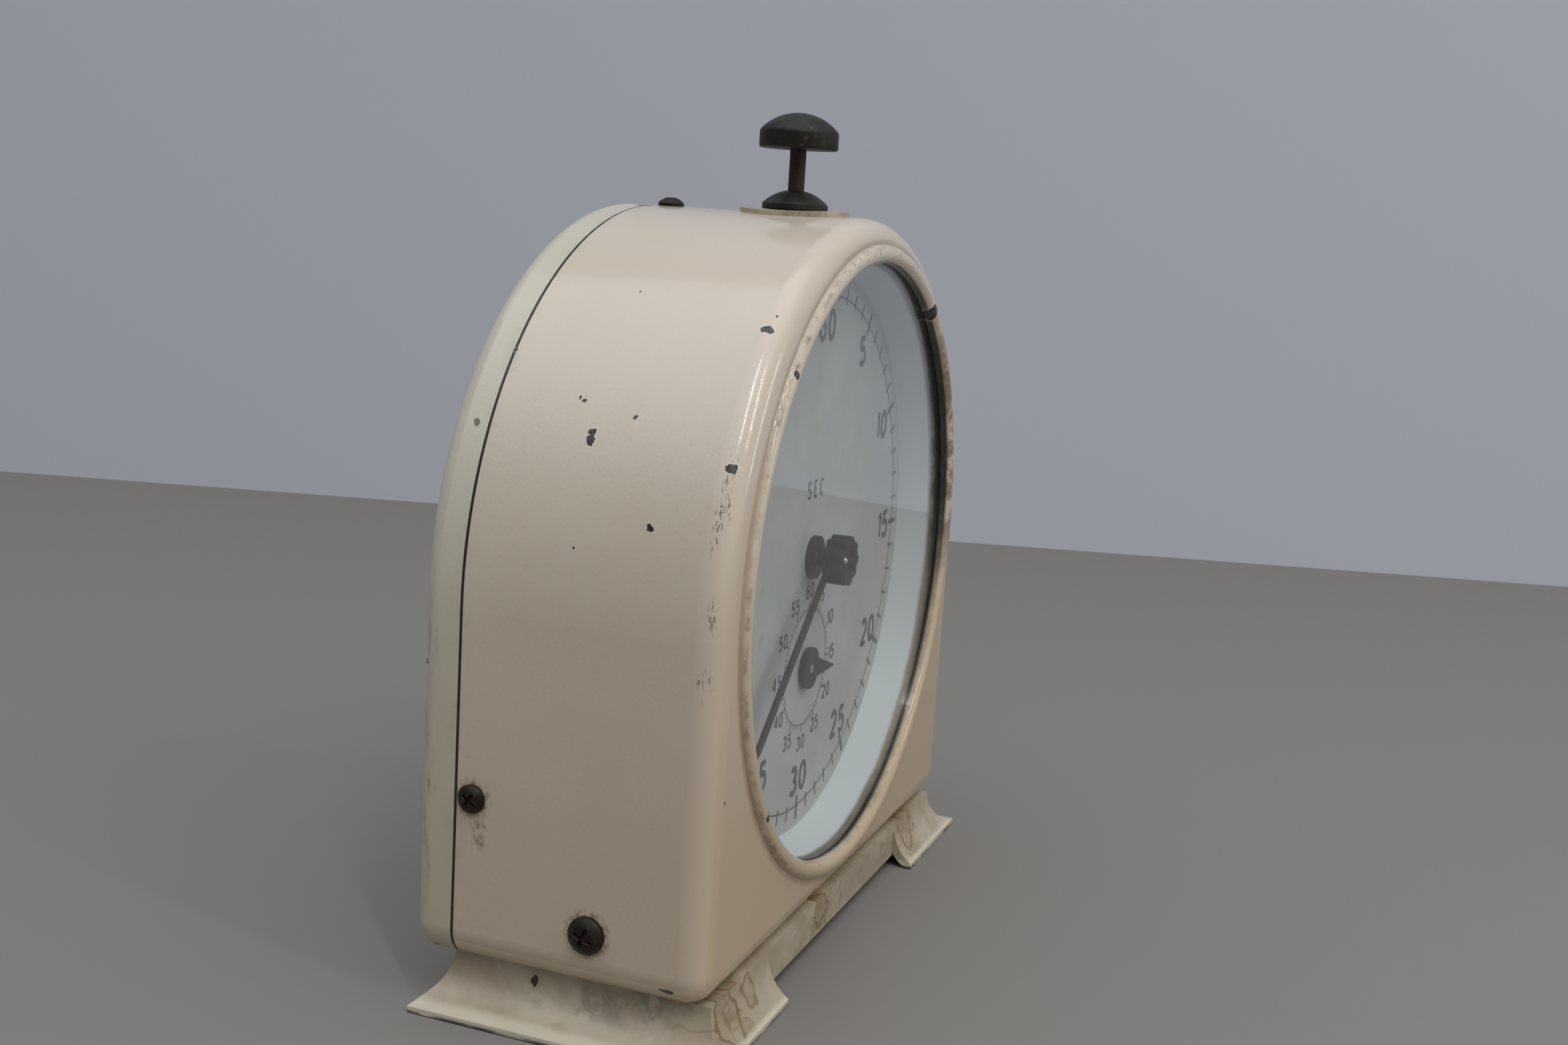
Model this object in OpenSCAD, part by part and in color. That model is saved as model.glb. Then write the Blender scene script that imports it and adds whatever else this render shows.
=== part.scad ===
// Clockwork stop timer in an arched pressed-steel case, with a seconds hand, a small
// sixty-minute dial and one plunger on top that starts, stops and resets it.
// x runs to the right seen from the front, y runs from the front to the back, z is up.
// Inside the modules a depth is measured from the front of the bead, and x and z from
// the centre of the dial; place() moves them to the origin under the middle of the part.

/* [Case] */
// Width of the case on each side of the bead
cheek_w = 7; // [6:0.1:12]
// Height of the case below the bead
chin_h = 3.7; // [3:0.1:7]
// Distance of the arched top's centre below the dial centre
arch_down = 2.7; // [-3:0.1:3.5]
// Depth from the front of the bead to the back of the cover
case_depth = 54.5; // [54:0.5:64]
// Depth of the back cover's rim, from the seam to its back
cover_rim = 7.6; // [6.5:0.1:9]
// Thickness of the pressed sheet
sheet = 1.0; // [0.8:0.1:1.2]
// Radius of the rolled front edge
front_edge_r = 4.6; // [3.5:0.1:5]
// Radius of the cover's back edge
back_edge_r = 3.2; // [2:0.1:4.5]
// Radius of the two bottom corners, seen from the front
corner_r = 5.6; // [5.2:0.1:7]

/* [Dial opening] */
// Radius of the opening in the front
opening_r = 55.5; // [54:0.1:56.5]
// Width of the raised bead round the opening
bead_w = 3.5; // [2.6:0.1:3.8]
// How far the bead stands out from the front face
bead_proud = 1.3; // [0.8:0.1:1.6]
// Thickness of the glass
glass_t = 1; // [0.8:0.1:1.5]
// How far the glass reaches behind the bead on every side
glass_lap = 1.3; // [1:0.1:1.5]
// Depth of the dial's front face behind the bead
dial_d = 11.7; // [11.5:0.1:11.8]
// Thickness of the dial
dial_t = 0.4; // [0.4:0.1:0.6]
// Width of the white spacer ring that shows round the dial
spacer_w = 2.3; // [1.7:0.1:3.5]
// Distance of the small dial's centre below the main one
small_dial_down = 21.5; // [21.3:0.1:21.7]

/* [Base] */
// Height of the base from the table to the case floor
base_h = 9; // [9:0.5:12]
// Thickness of the base's sheet
base_sheet = 1.4; // [1:0.1:1.6]
// Height of the upright edge that the skirts end in
base_edge = 1; // [0.5:0.1:1]
// How far the side skirts flare out beyond their top
side_flare = 8; // [5:0.5:8]
// How far the feet flare to the front and the back
foot_flare = 4.3; // [3:0.1:5]
// Distance of the side skirts' top from the case side, inwards
skirt_in = 4.5; // [4:0.1:6]
// Distance of the back skirt's top from the back of the cover, inwards
skirt_back_in = 5.9; // [5:0.1:7]
// Half the width between the two feet on the front and on the back
foot_gap = 36.5; // [30:0.5:42]
// How far the strip between the feet stays above the table
strip_up = 2.2; // [1:0.1:3]

/* [Plunger] */
// Radius of the cap
cap_r = 7.25; // [6:0.05:8]
// Height of the cap over its rim and dome
cap_h = 6.5; // [5:0.1:8]
// Height of the cap's straight rim
cap_rim = 3.2; // [1:0.1:3.6]
// Radius of the stem
stem_r = 1.5; // [1.4:0.05:1.7]
// Height of the cap's underside above the top of the case
cap_up = 11.6; // [9.5:0.1:16]
// Radius of the domed collar on the case
ferrule_r = 6.05; // [5:0.05:7]
// Height of the domed collar
ferrule_h = 3.5; // [2.5:0.1:4.5]
// How far the plunger travels when it is pressed
press = 4; // [2:0.5:4]
// Length of the saddle washer under the collar, front to back
washer_len = 20.5; // [16:0.5:22]
// Width of the saddle washer
washer_w = 15; // [13:0.5:18]
// Thickness of the saddle washer
washer_t = 0.8; // [0.5:0.1:1]

/* [Screws] */
// Head radius of the two base screws
base_screw_r = 3.2; // [2.6:0.1:3.6]
// Head radius of the three cover screws
cover_screw_r = 2.45; // [2:0.05:2.8]
// Depth of the base screws behind the bead
base_screw_d = 21.9; // [18:0.1:30]
// Height of the base screws above the case floor
base_screw_up = 9.8; // [9:0.1:12]
// Distance of the cover screws in front of the seam
cover_screw_in = 3.1; // [2.6:0.1:4]
// Height of the side cover screws above the case floor
cover_screw_up = 28.8; // [20:0.1:45]

/* [Hands] */
// Length of the seconds hand from the centre
second_hand_len = 47; // [40:0.5:50]
// Where the seconds hand stands, in seconds
second_shown = 38.1; // [0:0.1:59.9]
// Where the minute hand stands, in minutes
minute_shown = 16.6; // [0:0.1:59.9]
// Length of the minute hand from its centre
minute_hand_len = 13.8; // [11:0.1:14.5]

/* [Movement] */
// Depth of the front plate's face behind the dial's back
plate_gap = 4.9; // [4.9:0.1:5.1]
// Thickness of both plates
plate_t = 1.4; // [1.2:0.1:1.4]
// Room between the plates
between = 24; // [24:0.1:24.4]
// Distance of both plates' edge inside the dial opening
plate_in = 5.5; // [5:0.5:6.5]
// Radial clearance of a pivot that runs in its hole
run_gap = 0.04; // [0.03:0.01:0.06]
// Clearance between lantern pins and wheel teeth
tooth_gap = 0.05; // [0.04:0.005:0.06]
// Width of the mainspring's ribbon
mainspring_w = 12; // [8:0.5:12.5]
// Radius of the balance rim
balance_r = 12; // [11:0.1:12]

/* [Winding key] */
// Width of the key over its two wings
key_w = 29; // [24:0.5:36]
// How far the key stands out behind the cover
key_out = 13; // [11:0.5:18]
// Radius of the key's hub
key_hub_r = 4; // [3.5:0.1:5]

/* [Hidden] */
$fn = 96;
fit = 0.1;
eps = 0.01;
half_w = opening_r + bead_w + cheek_w;
dial_up = opening_r + bead_w + chin_h;
floor_z = -dial_up;
arch_z = -arch_down;
dial_r = opening_r - spacer_w;
plate_r = opening_r - plate_in;
top_z = arch_z + half_w;
dial_z = base_h + dial_up;
seam_d = case_depth - cover_rim;
glass_r = opening_r + glass_lap;
glass_d = bead_proud + sheet;
gasket_d = glass_d + glass_t;
gasket_t = 0.6;
spacer_d = gasket_d + gasket_t;
lip_t = 1.0;
lip_gap = 0.15;
lip_len = cover_screw_in + 3.6;

skirt_front_d = bead_proud + 0.2;
skirt_back_d = case_depth - skirt_back_in;
skirt_side_x = half_w - skirt_in;
foot_front_d = skirt_front_d - foot_flare;
key_end_d = case_depth + key_out;
mid_d = (foot_front_d + key_end_d) / 2;

plate1_d = dial_d + dial_t + plate_gap;
plate1_back = plate1_d + plate_t;
plate2_d = plate1_back + between;
plate2_back = plate2_d + plate_t;
stem_gap = 0.4;
plunger_d = plate1_d + stem_r + stem_gap;

// Heights of the plunger's pieces, from the dial centre
neck_r = stem_r + 1.4;
ferrule_z = top_z + washer_t;
cap_z = top_z + cap_up;
neck_end_z = top_z - 4.3;
collar_t = 1.2;
nut_h = 2.4;
collar_z = neck_end_z - collar_t - 0.1;
spring_wire = 0.55;
spring_r = 2.55;
spring_turns = 6;
spring_slack = 1.2;
guide_t = 1.2;
guide_z = collar_z - press - spring_turns * spring_wire - spring_slack - guide_t;
stem_end_z = guide_z - 2.5;

// Layers of the movement, as depths from the two plates
low_d = dial_d + dial_t + 0.4;
counter_d = low_d + 1.0;
heart_d = counter_d + 1.3;
third_wheel_d = plate1_back + 1.0;
lever_d = plate1_back + 1.0;
column_d = plate1_back + 0.5;
pawl_d = lever_d + 1.6;
brake_d = lever_d;
drum_d = plate1_back + 2.6;
drum_end = plate2_d - 6.0;
drum_gear_t = 1.4;
seconds_wheel_d = plate2_d - 2.6;
escape_d = plate1_back + 8.0;
pallet_d = escape_d + 2.0;
balance_d = pallet_d + 3.4;
hairspring_d = balance_d + 2.8;
thin = 0.6;
wheel_t = 0.7;

// Toothing: wheel teeth, pinion pins, module and pin diameter of each pair
barrel_teeth = 64;
third_pins = 8;
barrel_m = 0.62;
third_pin = 0.85;
third_teeth = 60;
seconds_pins = 8;
third_m = 0.5;
seconds_pin = 0.68;
seconds_teeth = 60;
escape_pins = 6;
seconds_m = 0.44;
escape_pin = 0.6;
counter_teeth = 60;
counter_pins = 8;
counter_m = 0.36;
counter_pin = 0.5;
minute_teeth = 64;

// Places of the arbors, as x and z from the dial centre
function pitch_sum(teeth, pins, m) = (teeth + pins) * m / 2;
barrel_at = [0, -30];
third_reach = pitch_sum(third_teeth, seconds_pins, third_m);
barrel_reach = pitch_sum(barrel_teeth, third_pins, barrel_m);
third_z = -(pow(third_reach, 2) + pow(barrel_at[1], 2) - pow(barrel_reach, 2)) / (-2 * barrel_at[1]);
third_at = [-sqrt(pow(third_reach, 2) - pow(third_z, 2)), third_z];
escape_turn = 51.7;
escape_reach = pitch_sum(seconds_teeth, escape_pins, seconds_m);
escape_at = escape_reach * [cos(escape_turn), sin(escape_turn)];
minute_at = [0, -small_dial_down];
counter_reach = pitch_sum(counter_teeth, counter_pins, counter_m);
minute_reach = pitch_sum(minute_teeth, counter_pins, counter_m);
counter_z = -(pow(counter_reach, 2) + pow(small_dial_down, 2) - pow(minute_reach, 2)) / (2 * small_dial_down);
counter_at = [-sqrt(pow(counter_reach, 2) - pow(counter_z, 2)), counter_z];
escape_r = 8;
escape_count = 15;
lever_turn = 120;
lever_dir = [cos(lever_turn), sin(lever_turn)];
pallet_reach = escape_r / cos(30);
pallet_at = escape_at + pallet_reach * lever_dir;
balance_reach = 14;
balance_at = pallet_at + balance_reach * lever_dir;
column_at = [11, guide_z - 16.5];
column_r = 4.8;
column_teeth = 18;
operating_at = [28, guide_z - 11];
pawl_at = [17, guide_z - 8.5];
brake_at = [-17, guide_z - 9];
hammer_at = [8, 22];
click_at = barrel_at + [12.5, 4.5];
stem_reach = 0.3;
pillar_at = plate_r * 0.594;
post_r = 1.8;
post_high = (glass_r + post_r + 0.15) * [cos(8), sin(8)];
post_low = [half_w - 16, floor_z + 16.7];
hand_turn = 90 - 6 * second_shown;
small_turn = 90 - 6 * minute_shown;

// Moves from the dial centre to the part's own origin
module place() {
    translate([0, -mid_d, dial_z]) children();
}

// An outline in x and z, from one depth to another
module slab(d0, d1) {
    translate([0, d1, 0]) rotate([90, 0, 0]) linear_extrude(d1 - d0) children();
}

// A round rod along y
module rod(r, d0, d1, at = [0, 0]) {
    translate([at[0], d1, at[1]]) rotate([90, 0, 0]) cylinder(r = r, h = d1 - d0);
}

// A turned piece along y, from points of radius and depth
module turned(points, at = [0, 0]) {
    translate([at[0], 0, at[1]]) rotate([90, 0, 0]) rotate_extrude()
        polygon([for (p = points) [p[0], -p[1]]]);
}

// A bar with round ends between two places
module bar2(a, b, w) {
    turn = atan2(b[1] - a[1], b[0] - a[0]);
    steps = 16;
    polygon([for (end = [[b, -90], [a, 90]], i = [0 : steps]) let (t = turn + end[1] + 180 * i / steps)
        end[0] + w / 2 * [cos(t), sin(t)]]);
}

// What a rounding takes off a square corner at the origin, up and to the left of it
module round_off(r) {
    if (r > 0) difference() {
        translate([-r, -eps]) square([r + eps, r + eps]);
        translate([-r, r]) circle(r);
    }
}

// Half a section of the case, from its axis to its side, with rounded edges
module half_section(half, d0, d1, r0, r1) {
    difference() {
        translate([0, d0]) square([half, d1 - d0]);
        translate([half, d0]) round_off(r0);
        translate([half, d1]) mirror([0, 1]) round_off(r1);
    }
}

// Section of the floor, from the front to the back, up to the corner radius
module floor_section(h, d0, d1, r0, r1) {
    difference() {
        translate([d0, 0]) square([d1 - d0, h]);
        translate([d0, 0]) mirror([1, 0]) round_off(r0);
        translate([d1, 0]) round_off(r1);
    }
}

// The arched form of the case, drawn in by a wall, with rounded front and back edges
module case_form(inset, d0, d1, r0, r1) {
    half = half_w - inset;
    rc = corner_r - inset;
    z0 = floor_z + inset;
    translate([0, 0, arch_z]) rotate([90, 0, 0]) rotate_extrude(angle = 180)
        mirror([0, 1]) half_section(half, d0, d1, r0, r1);
    translate([0, 0, z0 + rc]) linear_extrude(arch_z - z0 - rc) {
        half_section(half, d0, d1, r0, r1);
        mirror([1, 0]) half_section(half, d0, d1, r0, r1);
    }
    translate([-(half - rc), 0, z0]) rotate([90, 0, 90]) linear_extrude(2 * (half - rc))
        floor_section(rc, d0, d1, r0, r1);
    for (s = [-1, 1]) translate([s * (half - rc), 0, z0 + rc]) rotate([90, 0, 0])
        rotate_extrude() mirror([0, 1]) half_section(rc, d0, d1, r0, r1);
}

module side_screw_places(d, up) {
    for (s = [-1, 1]) translate([s * half_w, d, floor_z + up]) rotate([0, s * 90, 0]) children();
}

module cover_screw_places() {
    d = seam_d - cover_screw_in;
    side_screw_places(d, cover_screw_up) children();
    translate([0, d, top_z]) children();
}

// Outline of a domed button from the foot of its rim up to its bore or axis
function dome_points(r, rim, h, bore) = let (
        rise = h - rim,
        ball = (r * r + rise * rise) / (2 * rise),
        a0 = asin(r / ball),
        a1 = asin(bore / ball),
        steps = 16
    ) concat([[r, 0]], [for (i = [0 : steps]) let (a = a0 + (a1 - a0) * i / steps)
        [ball * sin(a), h - ball + ball * cos(a)]]);

// Half a section of a domed button with a straight rim and a bore
module domed_section(r, rim, h, bore) {
    polygon(concat([[bore, 0]], dome_points(r, rim, h, bore)));
}

// A pan-head screw with a cross recess, its head seated on z = 0
module pan_screw(head_r, shank_r, shank_len) {
    rim = head_r * 0.22;
    slot = head_r * 0.2;
    difference() {
        union() {
            rotate_extrude() domed_section(head_r, rim, head_r * 0.68, 0);
            translate([0, 0, -shank_len]) cylinder(r = shank_r, h = shank_len + eps);
        }
        for (a = [0, 90]) rotate(a) translate([-head_r * 0.55, -slot / 2, rim * 0.5])
            cube([head_r * 1.1, slot, head_r]);
    }
}

base_shank_r = base_screw_r * 0.46;
cover_shank_r = cover_screw_r * 0.46;

module front_case() {
    color("antiquewhite") place() difference() {
        union() {
            difference() {
                case_form(0, bead_proud, seam_d, front_edge_r, 0);
                case_form(sheet, glass_d, seam_d + 1, front_edge_r - sheet, 0);
            }
            difference() {
                rotate([90, 0, 0]) rotate_extrude() translate([opening_r + bead_w / 2 - fit, -bead_w / 2])
                    circle(d = bead_w);
                rod(opening_r + bead_w + 2, glass_d, glass_d + bead_w);
            }
        }
        rod(opening_r, -1, glass_d + 1);
        translate([0, plunger_d, top_z - 6]) cylinder(r = neck_r + fit, h = 12);
        side_screw_places(base_screw_d, base_screw_up)
            translate([0, 0, -sheet * 2]) cylinder(r = base_shank_r + fit, h = sheet * 4);
        cover_screw_places() translate([0, 0, -sheet * 2]) cylinder(r = cover_shank_r + fit, h = sheet * 4);
        for (s = [-1, 1]) translate([s * lug_x, base_screw_d, floor_z])
            cube([base_sheet + 2 * fit, lug_w + 2 * fit, 4 * sheet], center = true);
    }
}

module back_cover() {
    lip_in = sheet + lip_gap;
    color("linen") place() difference() {
        union() {
            difference() {
                case_form(0, seam_d, case_depth, 0, back_edge_r);
                case_form(sheet, seam_d - 1, case_depth - sheet, 0, back_edge_r - sheet);
            }
            difference() {
                union() {
                    case_form(lip_in, seam_d - lip_len, seam_d + 1, 0, 0);
                    case_form(sheet / 2, seam_d, seam_d + 1.6, 0, 0);
                }
                case_form(lip_in + lip_t, seam_d - lip_len - 1, seam_d + 3, 0, 0);
            }
            turned([[key_hub_r + 1, case_depth - sheet], [key_hub_r + 4, case_depth - sheet],
                [key_hub_r + 3, case_depth + 0.8], [key_hub_r + 1, case_depth + 0.8]], barrel_at);
        }
        rod(key_hub_r + 0.5, case_depth - 3 * sheet, case_depth + 3, barrel_at);
        cover_screw_places() translate([0, 0, -sheet - lip_t - 2]) cylinder(r = cover_shank_r, h = lip_t + 4);
    }
}

// Radius of an arc that starts upright and flares out by a distance over a height
function flare_r(h, f) = (h * h + f * f) / (2 * f);

// Area under a flare that starts at x = 0 on top, reaches x = f, and ends in an upright edge
module flare2(h, f, edge) {
    difference() {
        translate([-1, 0]) square([f + 1, h]);
        translate([flare_r(h - edge, f), h]) circle(flare_r(h - edge, f));
    }
}

// Section of the base across its width or its depth, with flares on both ends
module skirt_section(a, b, f, h, edge) {
    translate([a, 0]) square([b - a, h]);
    translate([b, 0]) flare2(h, f, edge);
    translate([a, 0]) mirror([1, 0]) flare2(h, f, edge);
}

// The bell form of the base, drawn in by a wall
module skirt_form(inset, edge) {
    h = base_h - inset;
    reach = half_w + side_flare + 5;
    intersection() {
        translate([0, case_depth + 20, 0]) rotate([90, 0, 0]) linear_extrude(case_depth + 40)
            skirt_section(-skirt_side_x + inset, skirt_side_x - inset, min(side_flare, h - edge), h, edge);
        translate([-reach, 0, 0]) rotate([90, 0, 90]) linear_extrude(2 * reach)
            skirt_section(skirt_front_d + inset, skirt_back_d - inset, foot_flare, h, edge);
    }
}

lug_w = 10;
lug_x = half_w - sheet - base_sheet / 2 - 4.2;
lug_rise = base_screw_up + 4;

module base_plate() {
    color("antiquewhite") place() translate([0, 0, floor_z - base_h]) {
        difference() {
            skirt_form(0, base_edge);
            translate([0, 0, -eps]) skirt_form(base_sheet, 0);
            for (d = [foot_front_d - 1, skirt_back_d]) translate([-foot_gap, d, -1])
                cube([2 * foot_gap, skirt_front_d - foot_front_d + 1, base_h + 2]);
            for (d = [foot_front_d - 1, skirt_back_d - base_sheet - 1]) translate([-foot_gap, d, -1])
                cube([2 * foot_gap, foot_flare + base_sheet + 2, strip_up + 1]);
        }
        for (d = [skirt_front_d, skirt_back_d - base_sheet]) translate([-foot_gap - 1, d, strip_up])
            cube([2 * foot_gap + 2, base_sheet, base_h - strip_up]);
        for (s = [-1, 1]) difference() {
            translate([0, base_screw_d + lug_w / 2, 0]) rotate([90, 0, 0]) linear_extrude(lug_w)
                scale([s, 1]) lug_outline();
            translate([s * half_w, base_screw_d, base_h + base_screw_up]) rotate([0, s * 90, 0])
                translate([0, 0, -12]) cylinder(r = base_shank_r, h = 24);
        }
    }
}

// A lug that rises through the case floor and joggles out to the case wall
module lug_outline() {
    x0 = lug_x - base_sheet / 2;
    x1 = half_w - sheet - base_sheet;
    z0 = base_h - base_sheet;
    z1 = base_h + corner_r - 1;
    polygon([[x0, z0], [x0 + base_sheet, z0], [x0 + base_sheet, z1 - 1.2], [x1 + base_sheet, z1 + 1.2],
        [x1 + base_sheet, base_h + lug_rise], [x1, base_h + lug_rise], [x1, z1 + 2.2], [x0, z1]]);
}

module base_screws() {
    color("saddlebrown") place() side_screw_places(base_screw_d, base_screw_up)
        pan_screw(base_screw_r, base_shank_r - fit / 4, sheet + base_sheet + 2);
}

module cover_screws() {
    color("saddlebrown") place() cover_screw_places()
        pan_screw(cover_screw_r, cover_shank_r - fit / 4, sheet + lip_t + 1.6);
}

module glass() {
    color("lightcyan", 0.35) place() rod(glass_r, glass_d, gasket_d);
}

module glass_gasket() {
    color("darkslategray") place() difference() {
        rod(glass_r, gasket_d, spacer_d);
        rod(opening_r - 0.1, gasket_d - 1, spacer_d + 1);
    }
}

module spacer_ring() {
    color("gainsboro") place() turned([[opening_r - 0.1, spacer_d], [glass_r, spacer_d],
        [glass_r, dial_d], [dial_r, dial_d]]);
}

dial_foot_r = 1.2;
dial_feet_at = [for (a = [90 + 62, 90 - 62, 270]) (plate_r - 5) * [cos(a), sin(a)]];

module dial_plate() {
    color("white") place() slab(dial_d, dial_d + dial_t) difference() {
        circle(glass_r);
        circle(r = 2.2);
        translate(minute_at) circle(r = 1.6);
    }
}

module dial_feet() {
    color("goldenrod") place() for (p = dial_feet_at) {
        rod(dial_foot_r, dial_d + dial_t, plate1_back, p);
        rod(dial_foot_r + 0.9, dial_d + dial_t, plate1_d, p);
    }
}

module centre_bush() {
    color("black") place() difference() {
        union() {
            rod(4.1, dial_d - 1.1, dial_d);
            rod(2.2, dial_d - eps, dial_d + dial_t);
        }
        rod(1.6, 0, dial_d + 3);
    }
}

// Outline shared by both plates, with straps on the front one
module plate_disc() {
    difference() {
        circle(plate_r);
        translate([-6.5, guide_z - 8.5]) square([13, 20]);
    }
}

module post_places() {
    for (s = [-1, 1]) {
        translate([s * post_high[0], post_high[1]]) children();
        translate([s * post_low[0], post_low[1]]) children();
    }
}

module pillar_places() {
    for (x = [-1, 1], z = [-1, 1]) translate([x, z] * pillar_at) children();
}

pivot_r = 0.6;
stud_r = 1.2;
pillar_stud_r = 1.5;
counter_r = 0.8;
minute_pivot_r = 0.9;
minute_bush_r = 2.2;
post_screw_r = 1;

// A strap from a point on the plate, some way out, to a post
module strap(post, start, w) {
    bar2(post * start / abs(post[0]), post, w);
}

module pivot_hole(p, r) {
    translate(p) circle(r + run_gap);
}

module front_plate() {
    color("khaki") place() difference() {
        union() {
            slab(plate1_d, plate1_back) difference() {
                union() {
                    plate_disc();
                    for (s = [-1, 1]) {
                        strap([s * post_high[0], post_high[1]], plate_r * 0.8, 8);
                        strap([s * post_low[0], post_low[1]], plate_r * 0.64, 9);
                    }
                }
                post_places() circle(r = post_screw_r + fit);
                pillar_places() circle(r = pillar_stud_r);
                for (p = dial_feet_at) translate(p) circle(r = dial_foot_r);
                pivot_hole([0, 0], seconds_bore);
                pivot_hole(third_at, pivot_r);
                pivot_hole(escape_at, pivot_r);
                pivot_hole(pallet_at, pivot_r);
                pivot_hole(balance_at, pivot_r);
                pivot_hole(counter_at, counter_r);
                pivot_hole(barrel_at, arbor_pivot_r);
                for (p = [column_at, operating_at, brake_at, hammer_at]) translate(p) circle(r = stud_r);
                bar2(hammer_pin_at - [0.8, 0], hammer_pin_at + [1.3, 0], 2.5);
                for (p = [[0.68, -0.12], [-0.72, 0.16]]) translate(plate_r * p) circle(r = plate_r * 0.18);
            }
            rod(minute_bush_r, plate1_d - 0.6, plate1_back + 0.5, minute_at);
        }
        rod(minute_pivot_r + run_gap, plate1_d - 1, plate1_back + 1, minute_at);
    }
}

module back_plate() {
    color("khaki") place() slab(plate2_d, plate2_back) difference() {
        circle(plate_r);
        pillar_places() circle(r = pillar_stud_r);
        pivot_hole([0, 0], pivot_r);
        pivot_hole(third_at, pivot_r);
        pivot_hole(escape_at, pivot_r);
        pivot_hole(pallet_at, pivot_r);
        pivot_hole(balance_at, pivot_r);
        pivot_hole(barrel_at, rear_pivot_r);
        translate(click_at) circle(r = stud_r);
        translate(hairspring_stud_at) circle(r = 0.8);
        for (p = [[0.68, 0], [-0.68, 0.12]]) translate(plate_r * p) circle(r = plate_r * 0.2);
    }
}

module pillars() {
    color("goldenrod") place() for (x = [-1, 1], z = [-1, 1]) {
        p = [x, z] * pillar_at;
        rod(3, plate1_back, plate2_d, p);
        rod(pillar_stud_r, plate1_d - 0.6, plate1_back + eps, p);
        rod(pillar_stud_r, plate2_d - eps, plate2_back + 3, p);
    }
}

module pillar_nuts() {
    color("silver") place() for (x = [-1, 1], z = [-1, 1]) slab(plate2_back, plate2_back + 2.2)
        translate([x, z] * pillar_at) difference() {
            circle(r = 3.2, $fn = 6);
            circle(r = pillar_stud_r + 0.05);
        }
}

module movement_posts() {
    color("silver") place() difference() {
        slab(glass_d, plate1_d) post_places() circle(r = post_r);
        slab(glass_d + 6, plate1_d + 1) post_places() circle(r = post_screw_r + 0.02);
    }
}

module movement_screws() {
    color("silver") place() for (s = [-1, 1], q = [post_high, post_low]) {
        p = [s * q[0], q[1]];
        rod(2.2, plate1_back, plate1_back + 1.5, p);
        rod(post_screw_r, glass_d + 8, plate1_back + eps, p);
    }
}

module plunger_cap() {
    color("darkslategray") place() translate([0, plunger_d, cap_z]) difference() {
        rotate_extrude() domed_section(cap_r, cap_rim, cap_h, 0);
        translate([0, 0, -1]) cylinder(r = stem_r, h = 4);
    }
}

module plunger_stem() {
    color("saddlebrown") place() translate([0, plunger_d, stem_end_z])
        cylinder(r = stem_r, h = cap_z + 3 - stem_end_z);
}

module plunger_ferrule() {
    bore = stem_r + 0.06;
    neck = ferrule_z - neck_end_z;
    dome = [for (p = dome_points(ferrule_r, 0.9, ferrule_h, bore)) p + [0, neck]];
    color("darkslategray") place() translate([0, plunger_d, neck_end_z]) rotate_extrude()
        polygon(concat([[bore, 0], [neck_r, 0], [neck_r, neck]], dome));
}

module ferrule_nut() {
    color("silver") place() translate([0, plunger_d, top_z - sheet - 0.25 - nut_h]) difference() {
        cylinder(r = 5.2, h = nut_h, $fn = 6);
        translate([0, 0, -1]) cylinder(r = neck_r, h = 5);
    }
}

module plunger_washer() {
    straight = washer_len - washer_w;
    color("antiquewhite") place() intersection() {
        difference() {
            rod(half_w + washer_t, plunger_d - washer_len / 2, plunger_d + washer_len / 2, [0, arch_z]);
            rod(half_w, plunger_d - washer_len, plunger_d + washer_len, [0, arch_z]);
            translate([0, plunger_d, top_z - 3]) cylinder(r = neck_r + fit, h = 8);
        }
        translate([0, plunger_d, top_z - 3]) linear_extrude(8)
            bar2([0, -straight / 2], [0, straight / 2], washer_w);
    }
}

module plunger_collar() {
    color("silver") place() translate([0, plunger_d, collar_z]) difference() {
        cylinder(r = 3.4, h = collar_t);
        translate([0, 0, -1]) cylinder(r = stem_r, h = 4);
    }
}

// Points of a ring of a coil spring's wire
spring_z0 = guide_z + guide_t + spring_wire / 2 + 0.02;
spring_z1 = collar_z - spring_wire / 2 - 0.02;
spring_rings = 8;
spring_sides = 6;
function spring_ring(i) = let (
        turn = 360 * i / spring_rings,
        z = spring_z0 + (spring_z1 - spring_z0) * i / (spring_rings * spring_turns)
    ) [for (k = [0 : spring_sides - 1]) let (a = 360 * k / spring_sides, w = spring_wire / 2)
        [(spring_r + w * cos(a)) * cos(turn), (spring_r + w * cos(a)) * sin(turn), z + w * sin(a)]];

module plunger_spring() {
    rings = spring_rings * spring_turns;
    n = spring_sides;
    points = [for (i = [0 : rings]) each spring_ring(i)];
    sides = [for (i = [0 : rings - 1], k = [0 : n - 1]) let (a = i * n + k, b = i * n + (k + 1) % n)
        each [[a, b, b + n], [a, b + n, a + n]]];
    first = [for (k = [1 : n - 2]) [0, k + 1, k]];
    last = [for (k = [1 : n - 2]) [rings * n, rings * n + k, rings * n + k + 1]];
    gap = (spring_z1 - spring_z0) / spring_turns - spring_wire;
    echo(plunger_spring_gap = gap);
    color("silver") place() translate([0, plunger_d, 0])
        polyhedron(points = points, faces = concat(sides, first, last));
}

module stem_guide() {
    leg_d = plate1_d - guide_t;
    leg_h = 13.4;
    color("silver") place() {
        difference() {
            translate([-4, leg_d, guide_z]) cube([8, plunger_d + 4.5 - leg_d, guide_t]);
            translate([0, plunger_d, guide_z - 1]) cylinder(r = stem_r + 0.06, h = 4);
        }
        translate([-4, leg_d, guide_z - leg_h]) cube([8, guide_t, leg_h + guide_t]);
        rod(1.4, leg_d - 0.6, leg_d + eps, [0, guide_z - leg_h + 2.2]);
    }
}

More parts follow.
